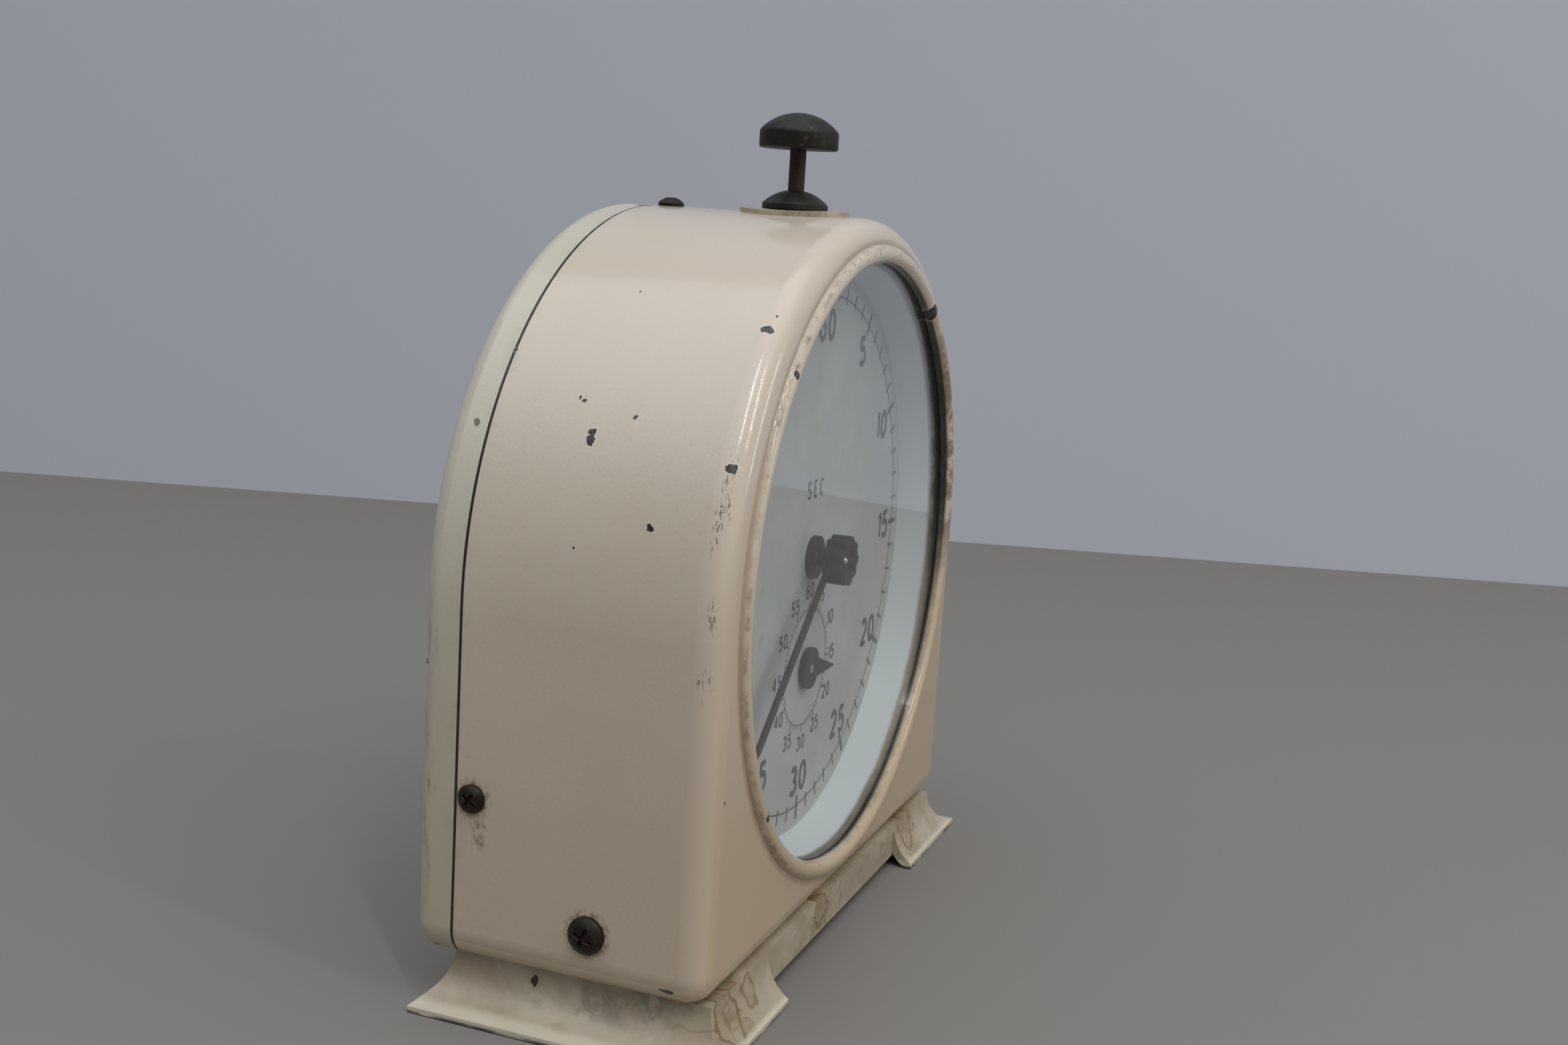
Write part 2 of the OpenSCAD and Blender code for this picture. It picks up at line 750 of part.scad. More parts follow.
// Place of a pin's contact with a tooth flank, a roll past the pitch point
function flank(rw, rp, rr, a) = let (
        k = 1 + rw / rp,
        c = [(rw + rp) * cos(a) - rp * cos(k * a), (rw + rp) * sin(a) - rp * sin(k * a)],
        v = rw * [cos(a), sin(a)] - c
    ) c + rr * v / norm(v);

// Points of one tooth space and one tooth, for a wheel that meets a pinion of round pins
function tooth(n, pins, m, pin_d) = let (
        rw = n * m / 2, rp = pins * m / 2, rr = pin_d / 2 + tooth_gap,
        rc = (rr + tooth_gap) * 1.12,
        f = [for (s = [0.5, 1]) flank(rw, rp, rr, s * 360 / n)],
        back = [for (i = [1, 0]) let (q = 360 / n - atan2(f[i][1], f[i][0])) norm(f[i]) * [cos(q), sin(q)]]
    ) concat([for (t = [-60, -20, 20, 60]) [rw - rc * cos(t), rc * sin(t)]], f, back);

function turn2(p, a) = [p[0] * cos(a) - p[1] * sin(a), p[0] * sin(a) + p[1] * cos(a)];

// Direction from one arbor to another, as an angle in x and z
function aim(a, b) = atan2(b[1] - a[1], b[0] - a[0]);

// Outline of a toothed wheel with a tooth space towards a direction
module toothed(n, pins, m, pin_d, towards) {
    t = tooth(n, pins, m, pin_d);
    polygon([for (i = [0 : n - 1]) each [for (p = t) turn2(p, towards + 360 * i / n)]]);
}

// Four or more arms between a hub and a rim, as what is cut away
module crossings(r_hub, r_rim, arm_w, arms) {
    difference() {
        circle(r_rim);
        circle(r_hub);
        for (i = [0 : arms - 1]) rotate(360 * i / arms) translate([0, -arm_w / 2]) square([r_rim + 1, arm_w]);
    }
}

// Pins of a lantern pinion, one of them towards a direction
module pins(count, m, pin_d, d0, d1, at, towards) {
    for (i = [0 : count - 1]) rod(pin_d / 2, d0, d1,
        at + count * m / 2 * [cos(towards + 360 * i / count), sin(towards + 360 * i / count)]);
}

// A lantern pinion with a disc on both ends of its pins
module lantern(count, m, pin_d, d0, d1, at, towards, disc_t) {
    r = count * m / 2 + pin_d / 2 + 0.3;
    rod(r, d0, d0 + disc_t, at);
    rod(r, d1 - disc_t, d1, at);
    pins(count, m, pin_d, d0 + disc_t - eps, d1 - disc_t + eps, at, towards);
}

seconds_bore = 1.2;
centre_r = 1.3;

hub_d = dial_d - 4.6;

module seconds_hand() {
    color("black") place() {
        difference() {
            union() {
                rod(4.6, hub_d, hub_d + 1.1);
                rod(1.7, hub_d + 1.1 - eps, dial_d - 1.5);
            }
            rod(1, hub_d - 1, dial_d);
        }
        slab(hub_d + 0.5, hub_d + 1.0) rotate(hand_turn) polygon([[4, -1.1], [second_hand_len - 3, -0.7],
            [second_hand_len, -0.15], [second_hand_len, 0.15], [second_hand_len - 3, 0.7], [4, 1.1]]);
    }
}

module hand_nut() {
    color("black") place() translate([0, hub_d, 0]) rotate([90, 0, 0])
        rotate_extrude() domed_section(4.45, 0.8, 2.3, 0.95);
}

module minute_hand() {
    d0 = dial_d - 1.4;
    color("black") place() translate([minute_at[0], 0, minute_at[1]]) {
        difference() {
            rod(4, d0, d0 + 1);
            rod(0.85, d0 - 1, d0 + 2);
        }
        slab(d0 + 0.25, d0 + 0.75) rotate(small_turn) polygon([[3, -1.9], [4.2, -1.8],
            [minute_hand_len, -0.15], [minute_hand_len, 0.15], [4.2, 1.8], [3, 1.9]]);
    }
}

module seconds_arbor() {
    d_tip = dial_d - 6.1;
    color("silver") place() {
        rod(0.95, d_tip, counter_d + thin + 0.3);
        rod(seconds_bore, counter_d + thin + 0.2, plate1_back + 0.2);
        rod(centre_r, plate1_back + 0.2 - eps, plate2_d - 0.3);
        rod(pivot_r, plate2_d - 0.3 - eps, plate2_back + 0.4);
        lantern(seconds_pins, third_m, seconds_pin, third_wheel_d - 0.8, third_wheel_d + 1.5,
            [0, 0], aim([0, 0], third_at), 0.4);
        pins(counter_pins, counter_m, counter_pin, counter_d - 0.2, counter_d + thin + 0.4,
            [0, 0], aim([0, 0], counter_at));
        rod(counter_pins * counter_m / 2 + 0.5, counter_d + thin + 0.2, counter_d + thin + 0.5);
    }
}

module seconds_wheel() {
    color("gold") place() slab(seconds_wheel_d, seconds_wheel_d + wheel_t) difference() {
        toothed(seconds_teeth, escape_pins, seconds_m, escape_pin, aim([0, 0], escape_at));
        circle(centre_r);
        crossings(3.4, 10.8, 1.6, 4);
    }
}

// Outline of a heart cam, whose low point lies towards the twelve of its dial at zero
module heart(r_low, r_high, turn) {
    steps = 24;
    rotate(turn) polygon([for (i = [0 : steps - 1]) let (a = 360 * i / steps,
        r = r_low + (r_high - r_low) * (1 - abs(1 - a / 180))) r * [cos(a), sin(a)]]);
}

module seconds_heart() {
    color("gold") place() slab(heart_d, heart_d + 0.8) difference() {
        heart(2.1, 4, hand_turn);
        circle(seconds_bore);
    }
}

module third_arbor() {
    color("silver") place() {
        rod(pivot_r, plate1_d - 0.3, plate1_back + 0.3, third_at);
        rod(1.2, plate1_back + 0.3 - eps, plate2_d - 0.3, third_at);
        rod(pivot_r, plate2_d - 0.3 - eps, plate2_back + 0.3, third_at);
        lantern(third_pins, barrel_m, third_pin, drum_end - 1.2, drum_end + drum_gear_t + 1.2,
            third_at, aim(third_at, barrel_at), 0.5);
        rod(2.2, third_wheel_d + wheel_t, third_wheel_d + wheel_t + 1.2, third_at);
    }
}

module third_wheel() {
    color("gold") place() slab(third_wheel_d, third_wheel_d + wheel_t) translate(third_at) difference() {
        toothed(third_teeth, seconds_pins, third_m, seconds_pin, aim(third_at, [0, 0]));
        circle(1.2);
        crossings(3.6, 12.4, 1.8, 4);
    }
}

drum_r = 18.2;
drum_wall = 0.8;
core_r = 2.8;
arbor_pivot_r = 2.0;
rear_pivot_r = 2.6;

module barrel() {
    color("gold") place() {
        difference() {
            rod(drum_r, drum_d, drum_end, barrel_at);
            rod(drum_r - drum_wall, drum_d + drum_wall, drum_end + 1, barrel_at);
            rod(arbor_pivot_r + run_gap, drum_d - 1, drum_d + 3, barrel_at);
        }
        slab(drum_end - eps, drum_end + drum_gear_t) translate(barrel_at) difference() {
            toothed(barrel_teeth, third_pins, barrel_m, third_pin, aim(barrel_at, third_at));
            circle(drum_r - drum_wall);
        }
    }
}

module barrel_lid() {
    color("goldenrod") place() difference() {
        rod(drum_r - drum_wall, drum_end + drum_gear_t - 0.9, drum_end + drum_gear_t, barrel_at);
        rod(rear_pivot_r + run_gap, drum_end - 1, drum_end + 4, barrel_at);
    }
}

// Outline of a flat spiral ribbon
module spiral(r0, r1, turns, t, per_turn) {
    n = turns * per_turn;
    function mid(i) = r0 + (r1 - r0) * i / n;
    polygon(concat(
        [for (i = [0 : n]) (mid(i) + t / 2) * [cos(360 * i / per_turn), sin(360 * i / per_turn)]],
        [for (i = [n : -1 : 0]) (mid(i) - t / 2) * [cos(360 * i / per_turn), sin(360 * i / per_turn)]]));
}

module mainspring() {
    d0 = drum_d + drum_wall + 0.4;
    color("slategray") place() slab(d0, d0 + mainspring_w) translate(barrel_at)
        spiral(core_r + 1.1, drum_r - drum_wall - 0.3, 7, 0.4, 20);
}

square_w = 3.4;

module winding_arbor() {
    color("silver") place() {
        rod(arbor_pivot_r, plate1_d, drum_d + drum_wall + 0.1, barrel_at);
        rod(core_r, drum_d + drum_wall + 0.1 - eps, drum_end + drum_gear_t - 1.1, barrel_at);
        rod(rear_pivot_r, drum_end + drum_gear_t - 1.1 - eps, plate2_back + 0.3, barrel_at);
        translate([barrel_at[0] - square_w / 2, plate2_back, barrel_at[1] - square_w / 2])
            cube([square_w, case_depth + 1.5 - plate2_back, square_w]);
    }
}

ratchet_teeth = 20;
ratchet_r = 8.4;
ratchet_d = plate2_back + 0.6;

// Outline of a wheel of saw teeth
module saw(n, r, depth) {
    polygon([for (i = [0 : n - 1]) each [r * [cos(360 * i / n), sin(360 * i / n)],
        (r - depth) * [cos(360 * (i + 0.1) / n), sin(360 * (i + 0.1) / n)]]]);
}

module ratchet_wheel() {
    color("silver") place() slab(ratchet_d, ratchet_d + 1.4) translate(barrel_at) difference() {
        saw(ratchet_teeth, ratchet_r, 1.1);
        translate([-square_w / 2 - 0.02, -square_w / 2 - 0.02]) square(square_w + 0.04);
    }
}

click_nose = barrel_at + (ratchet_r + 0.2) * [cos(62), sin(62)];

module click() {
    v = click_at - click_nose;
    color("silver") place() slab(ratchet_d, ratchet_d + 1.4) difference() {
        union() {
            translate(click_at) circle(r = 2.6);
            polygon([click_nose, click_nose + [3.2, -0.4], click_at + [1.6, -2], click_at + [-1.4, 2.2],
                click_nose + [1.2, 1.9]]);
        }
        translate(click_at) circle(r = stud_r + run_gap);
    }
}

module click_spring() {
    a = click_at + [9, 4];
    b = click_at + 3.1 * [cos(100), sin(100)];
    color("silver") place() {
        slab(ratchet_d, ratchet_d + 0.8) bar2(a, b, 0.45);
        slab(plate2_back, ratchet_d + 0.8) translate(a) circle(r = 1.6);
    }
}

module winding_key() {
    hub_start = ratchet_d + 1.5;
    wing_d = case_depth + 3.2;
    wing_t = 2;
    lobe_r = (key_end_d - wing_d) / 2;
    color("silver") place() translate([barrel_at[0], 0, barrel_at[1]]) {
        difference() {
            rod(key_hub_r, hub_start, wing_d + 2.5);
            translate([-square_w / 2 - 0.02, hub_start - 1, -square_w / 2 - 0.02])
                cube([square_w + 0.04, case_depth + 2 - hub_start + 1, square_w + 0.04]);
        }
        translate([0, 0, -wing_t / 2]) linear_extrude(wing_t) difference() {
            union() {
                for (s = [-1, 1]) translate([s * (key_w / 2 - lobe_r), wing_d + lobe_r]) circle(lobe_r);
                translate([-(key_w / 2 - lobe_r), wing_d + lobe_r * 0.45])
                    square([key_w - 2 * lobe_r, lobe_r * 1.1]);
            }
            for (s = [-1, 1]) translate([s * (key_w / 2 - lobe_r), wing_d + lobe_r]) circle(lobe_r * 0.42);
        }
    }
}

module counter_arbor() {
    color("silver") place() {
        rod(counter_r, low_d - 0.2, plate1_back + 0.4, counter_at);
        rod(2.0, counter_d + thin, plate1_d - 0.4, counter_at);
        pins(counter_pins, counter_m, counter_pin, low_d - 0.1, low_d + thin + 0.2, counter_at,
            aim(counter_at, minute_at));
        rod(counter_pins * counter_m / 2 + 0.5, low_d + thin + 0.1, counter_d, counter_at);
    }
}

module counter_wheel() {
    color("gold") place() slab(counter_d, counter_d + thin) translate(counter_at) difference() {
        toothed(counter_teeth, counter_pins, counter_m, counter_pin, aim(counter_at, [0, 0]));
        circle(counter_r);
        crossings(3, 8.8, 1.4, 4);
    }
}

module minute_arbor() {
    color("silver") place() {
        rod(0.85, dial_d - 1.4, low_d - 0.1, minute_at);
        rod(minute_pivot_r, low_d - 0.1 - eps, plate1_back + 0.7, minute_at);
        rod(1.7, low_d + thin, plate1_d - 0.8, minute_at);
    }
}

module minute_wheel() {
    color("gold") place() slab(low_d, low_d + thin) translate(minute_at) difference() {
        toothed(minute_teeth, counter_pins, counter_m, counter_pin, aim(minute_at, counter_at));
        circle(minute_pivot_r);
        crossings(3, 9.4, 1.4, 4);
    }
}

module minute_heart() {
    color("gold") place() slab(heart_d, heart_d + 0.8) translate(minute_at) difference() {
        heart(2.4, 4, small_turn);
        circle(1.7);
    }
}

module escape_arbor() {
    color("silver") place() {
        rod(pivot_r, plate1_d - 0.3, plate1_back + 0.3, escape_at);
        rod(0.9, plate1_back + 0.3 - eps, seconds_wheel_d - 0.8, escape_at);
        rod(pivot_r, seconds_wheel_d - 0.8 - eps, plate2_back + 0.3, escape_at);
        lantern(escape_pins, seconds_m, escape_pin, seconds_wheel_d - 1.0, seconds_wheel_d + wheel_t + 0.9,
            escape_at, aim(escape_at, [0, 0]), 0.4);
        rod(1.8, escape_d + 0.8, escape_d + 1.8, escape_at);
    }
}

// Outline of an escape wheel with slender pointed teeth
module escape_outline() {
    n = escape_count;
    polygon([for (i = [0 : n - 1]) each [
        (escape_r - 2.3) * [cos(360 * (i - 0.36) / n), sin(360 * (i - 0.36) / n)],
        escape_r * [cos(360 * (i - 0.03) / n), sin(360 * (i - 0.03) / n)],
        escape_r * [cos(360 * (i + 0.03) / n), sin(360 * (i + 0.03) / n)],
        (escape_r - 2.3) * [cos(360 * (i + 0.1) / n), sin(360 * (i + 0.1) / n)]]]);
}

module escape_wheel() {
    color("gold") place() slab(escape_d, escape_d + 0.8) translate(escape_at) difference() {
        escape_outline();
        circle(0.9);
        crossings(2, 4.6, 1.1, 4);
    }
}

pallet_pin_r = 0.25;
pallet_ring = escape_r + 0.65;
pallet_pins_at = [for (s = [-1, 1]) let (a = lever_turn + 30 * s) escape_at + pallet_ring * [cos(a), sin(a)]];
fork_len = balance_reach - 2.75;

module pallet_lever() {
    side = [-lever_dir[1], lever_dir[0]];
    color("goldenrod") place() {
        slab(pallet_d, pallet_d + 0.8) difference() {
            union() {
                for (p = pallet_pins_at) bar2(pallet_at, p, 1.3);
                translate(pallet_at) circle(r = 1.7);
                bar2(pallet_at, pallet_at + (fork_len - 1.4) * lever_dir, 1.1);
                translate(pallet_at + (fork_len - 2.4) * lever_dir) rotate(lever_turn)
                    translate([0, -1.3]) square([2.4, 2.6]);
            }
            translate(pallet_at) circle(r = 0.9);
            translate(pallet_at + (fork_len - 1.5) * lever_dir) rotate(lever_turn)
                translate([0, -0.35]) square([2, 0.7]);
        }
        for (p = pallet_pins_at) rod(pallet_pin_r, escape_d - 0.4, pallet_d + eps, p);
    }
}

module pallet_arbor() {
    color("silver") place() {
        rod(pivot_r, plate1_d - 0.3, plate1_back + 0.3, pallet_at);
        rod(0.9, plate1_back + 0.3 - eps, plate2_d - 0.3, pallet_at);
        rod(pivot_r, plate2_d - 0.3 - eps, plate2_back + 0.3, pallet_at);
    }
}

module balance_wheel() {
    color("gold") place() {
        slab(balance_d, balance_d + 1.2) translate(balance_at) difference() {
            circle(balance_r);
            circle(0.9);
            crossings(2.2, balance_r - 1.6, 1.4, 3);
        }
    }
}

module balance_staff() {
    roller_d = pallet_d + 1.4;
    color("silver") place() {
        rod(pivot_r, plate1_d - 0.3, plate1_back + 0.3, balance_at);
        rod(0.9, plate1_back + 0.3 - eps, plate2_d - 0.3, balance_at);
        rod(pivot_r, plate2_d - 0.3 - eps, plate2_back + 0.3, balance_at);
        rod(2.6, roller_d, roller_d + 0.6, balance_at);
        rod(pallet_pin_r, pallet_d - 0.2, roller_d + eps, balance_at - 2 * lever_dir);
        rod(1.6, hairspring_d - 0.4, hairspring_d + 1, balance_at);
    }
}

hairspring_r = 7.2;
hairspring_stud_at = balance_at + [hairspring_r + 0.95, 0];

module hairspring() {
    color("steelblue") place() slab(hairspring_d, hairspring_d + 0.5) translate(balance_at)
        spiral(2.1, hairspring_r, 5, 0.25, 18);
}

hammer_pin_r = 0.75;
column_face_r = 4;
hammer_pin_at = column_at - [column_face_r + 0.7 + hammer_pin_r, 0];

module lever_studs() {
    color("silver") place() {
        rod(stud_r, plate1_d, pawl_d + 0.9, column_at);
        rod(1.8, plate1_back, column_d - 0.1, column_at);
        rod(1.8, pawl_d + 0.9, pawl_d + 1.5, column_at);
        rod(stud_r, plate1_d, lever_d + 1.3, operating_at);
        rod(2, plate1_back, lever_d - 0.1, operating_at);
        rod(1.9, lever_d + 1.3, lever_d + 1.9, operating_at);
        rod(stud_r, plate1_d, brake_d + 1.1, brake_at);
        rod(2, plate1_back, brake_d - 0.1, brake_at);
        rod(1.9, brake_d + 1.1, brake_d + 1.7, brake_at);
        rod(stud_r, heart_d - 0.1, plate1_back, hammer_at);
        rod(2, heart_d + 0.9, plate1_d, hammer_at);
        rod(1.9, heart_d - 0.7, heart_d - 0.1, hammer_at);
        rod(stud_r, plate2_d, ratchet_d + 1.5, click_at);
        rod(1.9, ratchet_d + 1.5, ratchet_d + 2.1, click_at);
        rod(2, plate2_back, ratchet_d - 0.1, click_at);
        rod(0.8, hairspring_d - 0.3, plate2_back, hairspring_stud_at);
    }
}

lever_top_z = stem_end_z - stem_reach;

module operating_lever() {
    color("silver") place() {
        slab(lever_d, lever_d + 1.2) difference() {
            union() {
                translate(operating_at) circle(r = 3);
                polygon([operating_at + [0.5, 3], [-2.5, lever_top_z], [-2.5, lever_top_z - 2.4],
                    operating_at + [-0.5, -3]]);
            }
            translate(operating_at) circle(r = stud_r + run_gap);
        }
        rod(0.7, lever_d + 1.2 - eps, pawl_d + 0.9, pawl_at);
    }
}

module operating_pawl() {
    x0 = column_at[0] + column_r + 0.35;
    color("silver") place() slab(pawl_d, pawl_d + 0.8) difference() {
        union() {
            translate(pawl_at) circle(r = 1.5);
            polygon([[x0 + 0.3, pawl_at[1]], [x0 + 0.3, column_at[1] + 1.2], [x0, column_at[1] - 0.4],
                [x0 + 0.5, column_at[1] - 0.9], [x0 + 1.5, column_at[1] - 0.6], [x0 + 1.6, pawl_at[1]]]);
        }
        translate(pawl_at) circle(r = 0.7 + run_gap);
    }
}

module column_wheel() {
    color("silver") place() difference() {
        union() {
            slab(pawl_d, pawl_d + 0.8) translate(column_at) saw(column_teeth, column_r, 0.7);
            slab(column_d, pawl_d + eps) translate(column_at) {
                circle(r = 2.1);
                for (i = [0 : 5]) intersection() {
                    difference() {
                        circle(column_face_r);
                        circle(2);
                    }
                    rotate(60 * i + 165) polygon([[0, 0], [8, 0], [8 * cos(30), 8 * sin(30)]]);
                }
            }
        }
        rod(stud_r + run_gap, column_d - 1, pawl_d + 2, column_at);
    }
}

module jumper_spring() {
    base = column_at + [12, -8.5];
    tip = column_at + (column_r + 0.45) * [cos(-48), sin(-48)];
    color("silver") place() {
        slab(pawl_d, pawl_d + 0.7) bar2(base, tip, 0.5);
        slab(plate1_back, pawl_d + 0.7) translate(base) circle(r = 1.8);
    }
}

brake_pin_r = 0.6;
brake_clear = 0.4;
brake_pin_at = balance_at - [balance_r + brake_pin_r + brake_clear, 0];

module brake_lever() {
    low = column_at[1] - 7.3;
    tip = column_at[1] - column_face_r - 1.1;
    color("silver") place() {
        slab(brake_d, brake_d + 1) difference() {
            union() {
                translate(brake_at) circle(r = 2.6);
                translate([brake_at[0] - 1.2, low - 1]) square([2.8, brake_at[1] - low + 1]);
                translate([brake_at[0] - 1.2, low - 1]) square([column_at[0] - brake_at[0] + 2, 2]);
                translate([column_at[0] - 0.6, low]) square([1.4, tip - low]);
            }
            translate(brake_at) circle(r = stud_r + run_gap);
        }
        rod(brake_pin_r, brake_d, balance_d + 1.2, brake_pin_at);
    }
}

module reset_hammer() {
    face_s = 5;
    face_m = 6;
    color("silver") place() {
        slab(heart_d, heart_d + 0.8) difference() {
            union() {
                translate(hammer_at) circle(r = 2.8);
                bar2(hammer_at, hammer_pin_at, 2.2);
                bar2(hammer_at, [9, 0], 2.4);
                bar2([9, 0], [9.6, minute_at[1]], 2.4);
                translate([face_s, -2]) square([4, 4]);
                translate([face_m, minute_at[1] - 2]) square([4, 4]);
            }
            translate(hammer_at) circle(r = stud_r + run_gap);
        }
        rod(hammer_pin_r, heart_d, pawl_d - 0.4, hammer_pin_at);
    }
}

front_case();
back_cover();
base_plate();
base_screws();
cover_screws();
glass();
glass_gasket();
spacer_ring();
dial_plate();
dial_feet();
centre_bush();
front_plate();
back_plate();
pillars();
pillar_nuts();
movement_posts();
movement_screws();
plunger_cap();
plunger_stem();
plunger_ferrule();
ferrule_nut();
plunger_washer();
plunger_spring();
plunger_collar();
stem_guide();
seconds_hand();
hand_nut();
minute_hand();
seconds_arbor();
seconds_wheel();
seconds_heart();
third_arbor();
third_wheel();
barrel();
barrel_lid();
mainspring();
winding_arbor();
ratchet_wheel();
click();
click_spring();
winding_key();
counter_arbor();
counter_wheel();
minute_arbor();
minute_wheel();
minute_heart();
escape_arbor();
escape_wheel();
pallet_lever();
pallet_arbor();
balance_wheel();
balance_staff();
hairspring();
lever_studs();
operating_lever();
operating_pawl();
column_wheel();
jumper_spring();
brake_lever();
reset_hammer();
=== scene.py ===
from functools import reduce
import bpy
import bmesh
import numpy as np
from mathutils import Matrix, Vector


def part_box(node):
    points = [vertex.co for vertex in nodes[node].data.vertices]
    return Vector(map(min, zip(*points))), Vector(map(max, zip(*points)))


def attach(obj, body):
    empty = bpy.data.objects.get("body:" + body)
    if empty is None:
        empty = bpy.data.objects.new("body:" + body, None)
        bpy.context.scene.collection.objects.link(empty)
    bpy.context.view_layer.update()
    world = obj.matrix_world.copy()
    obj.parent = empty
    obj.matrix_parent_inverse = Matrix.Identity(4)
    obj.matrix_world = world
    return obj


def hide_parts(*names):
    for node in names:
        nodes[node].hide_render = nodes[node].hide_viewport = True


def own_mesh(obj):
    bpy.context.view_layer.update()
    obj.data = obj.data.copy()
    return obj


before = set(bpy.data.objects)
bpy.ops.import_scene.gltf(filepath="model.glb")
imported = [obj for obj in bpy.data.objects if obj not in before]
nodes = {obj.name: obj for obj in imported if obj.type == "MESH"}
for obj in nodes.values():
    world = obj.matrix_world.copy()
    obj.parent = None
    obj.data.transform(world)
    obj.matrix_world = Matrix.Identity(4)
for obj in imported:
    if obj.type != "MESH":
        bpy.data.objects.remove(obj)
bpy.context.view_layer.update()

mm = 0.001
midDepth = 32.35  # depth of the origin behind the front of the bead, mm
dialHeight = 71.7  # height of the dial centre above the table, mm
dialZ = dialHeight * mm


def atDepth(d):
    # a depth behind the front of the bead, in mm, as a y in the frame
    return (d - midDepth) * mm


def fromDial(x, d, z):
    # x and z from the dial centre and a depth behind the bead, in mm, to metres in the frame
    return np.stack(np.broadcast_arrays(x * mm, atDepth(d), (z + dialHeight) * mm), -1)


# camera, room and lights
camera = {
    "place": (-0.304863, -0.128317, 0.134599),
    "forward": (0.92345, 0.34256, -0.17292),
    "up": (0.1398, 0.11932, 0.98296),
    "focal": 40.1,  # mm on a 36 mm wide sensor
}


def makeCamera():
    data = bpy.data.cameras.new("camera")
    data.sensor_width = 36
    data.lens = camera["focal"]
    data.clip_start = 0.01
    data.dof.use_dof = False
    cam = bpy.data.objects.new("camera", data)
    forward = Vector(camera["forward"]).normalized()
    right = forward.cross(Vector(camera["up"])).normalized()
    turn = Matrix((right, right.cross(forward), -forward)).transposed().to_4x4()
    cam.matrix_world = Matrix.Translation(camera["place"]) @ turn
    bpy.context.scene.collection.objects.link(cam)
    bpy.context.scene.camera = cam


makeCamera()
bpy.context.scene.view_settings.view_transform = "Standard"
print("camera placed")


# shader node helpers
def isSocket(value):
    return isinstance(value, bpy.types.NodeSocket)


def put(tree, kind, inputs=None, **settings):
    # adds a node; an input is a value, or an output socket that is linked to it
    node = tree.nodes.new(kind)
    for key, value in settings.items():
        setattr(node, key, value)
    for key, value in (inputs or {}).items():
        if isSocket(value):
            tree.links.new(value, node.inputs[key])
        else:
            node.inputs[key].default_value = value
    return node


def add(kind, inputs, **settings):
    # adds a node to the tree that its linked inputs are in
    tree = next(value.id_data for value in inputs.values() if isSocket(value))
    return put(tree, kind, inputs, **settings)


def calc(what, *values, clamp=False):
    return add("ShaderNodeMath", dict(enumerate(values)), operation=what, use_clamp=clamp).outputs[0]


def times(*values):
    return reduce(lambda a, b: calc("MULTIPLY", a, b), values)


def most(*values):
    return reduce(lambda a, b: calc("MAXIMUM", a, b), values)


def total(*values):
    return reduce(lambda a, b: calc("ADD", a, b), values)


def less(value, *taken):
    return reduce(lambda a, b: calc("SUBTRACT", a, b), (value,) + taken)


def vec(what, *values):
    node = add("ShaderNodeVectorMath", dict(enumerate(values)), operation=what)
    return node.outputs[1] if what in ("DISTANCE", "LENGTH", "DOT_PRODUCT") else node.outputs[0]


def span(value, low, high, out0=0, out1=1):
    # value from low to high, turned smoothly into out0 to out1 and held outside
    values = {0: value, 1: low, 2: high, 3: out0, 4: out1}
    return add("ShaderNodeMapRange", values, clamp=True, interpolation_type="SMOOTHSTEP").outputs[0]


def tint(share, a, b, how="MIX"):
    # a with a share of b mixed in; a and b are colours or sockets
    a, b = (value if isSocket(value) else tuple(value) + (1,) for value in (a, b))
    return add("ShaderNodeMix", {0: share, 6: a, 7: b}, data_type="RGBA", blend_type=how).outputs[2]


def noise(where, scale, detail=3, rough=0.5, warp=0):
    values = {"Vector": where, "Scale": scale, "Detail": detail, "Roughness": rough, "Distortion": warp}
    return add("ShaderNodeTexNoise", values).outputs[0]


def shifted(where, reach, scale, detail, rough=0.5):
    # the place moved along each axis by a noise of its own, by up to half the reach either way
    values = {"Vector": where, "Scale": scale, "Detail": detail, "Roughness": rough}
    push = add("ShaderNodeTexNoise", values).outputs["Color"]
    push = vec("SUBTRACT", push, (0.5, 0.5, 0.5))
    return vec("ADD", where, vec("MULTIPLY", push, (reach,) * 3))


def stretched(where, scale, turn=(0, 0, 0)):
    return add("ShaderNodeMapping", {"Vector": where, "Rotation": turn, "Scale": scale}).outputs[0]


def startMaterial(name, **fixed):
    # a Principled material whose constant values stand on its own sockets
    mat = bpy.data.materials.new(name)
    mat.use_nodes = True
    tree = mat.node_tree
    tree.nodes.clear()
    where = put(tree, "ShaderNodeTexCoord").outputs["Object"]
    values = {key.replace("_", " "): value for key, value in fixed.items()}
    body = put(tree, "ShaderNodeBsdfPrincipled", values)
    add("ShaderNodeOutputMaterial", {0: body.outputs[0]})
    return mat, where, body


def finishMaterial(body, colour, rough, height, depth, strength):
    # links the colour, if there is one, the roughness, and a bump of a depth in metres
    bump = add("ShaderNodeBump", {"Height": height, "Distance": depth, "Strength": strength}).outputs[0]
    for label, value in (("Base Color", colour), ("Roughness", rough), ("Normal", bump)):
        if value:
            body.id_data.links.new(value, body.inputs[label])


room = {
    "reach": 6,  # half the floor's and the wall's length, metres
    "floorColour": (0.205, 0.197, 0.186),
    "floorRough": 0.75,
    "wallColour": (0.57, 0.6, 0.69),
    "wallRough": 0.9,
    "wallPlace": (0.33, 0.36),  # where the wall's foot crosses the view, metres
    "wallTurn": 17,  # degrees
    "wallHigh": 1.2,
    "below": 0.0002,  # how far the floor lies under the feet, so that no faces coincide
    "dusk": (0.085, 0.088, 0.093),  # the room's light from every side
}

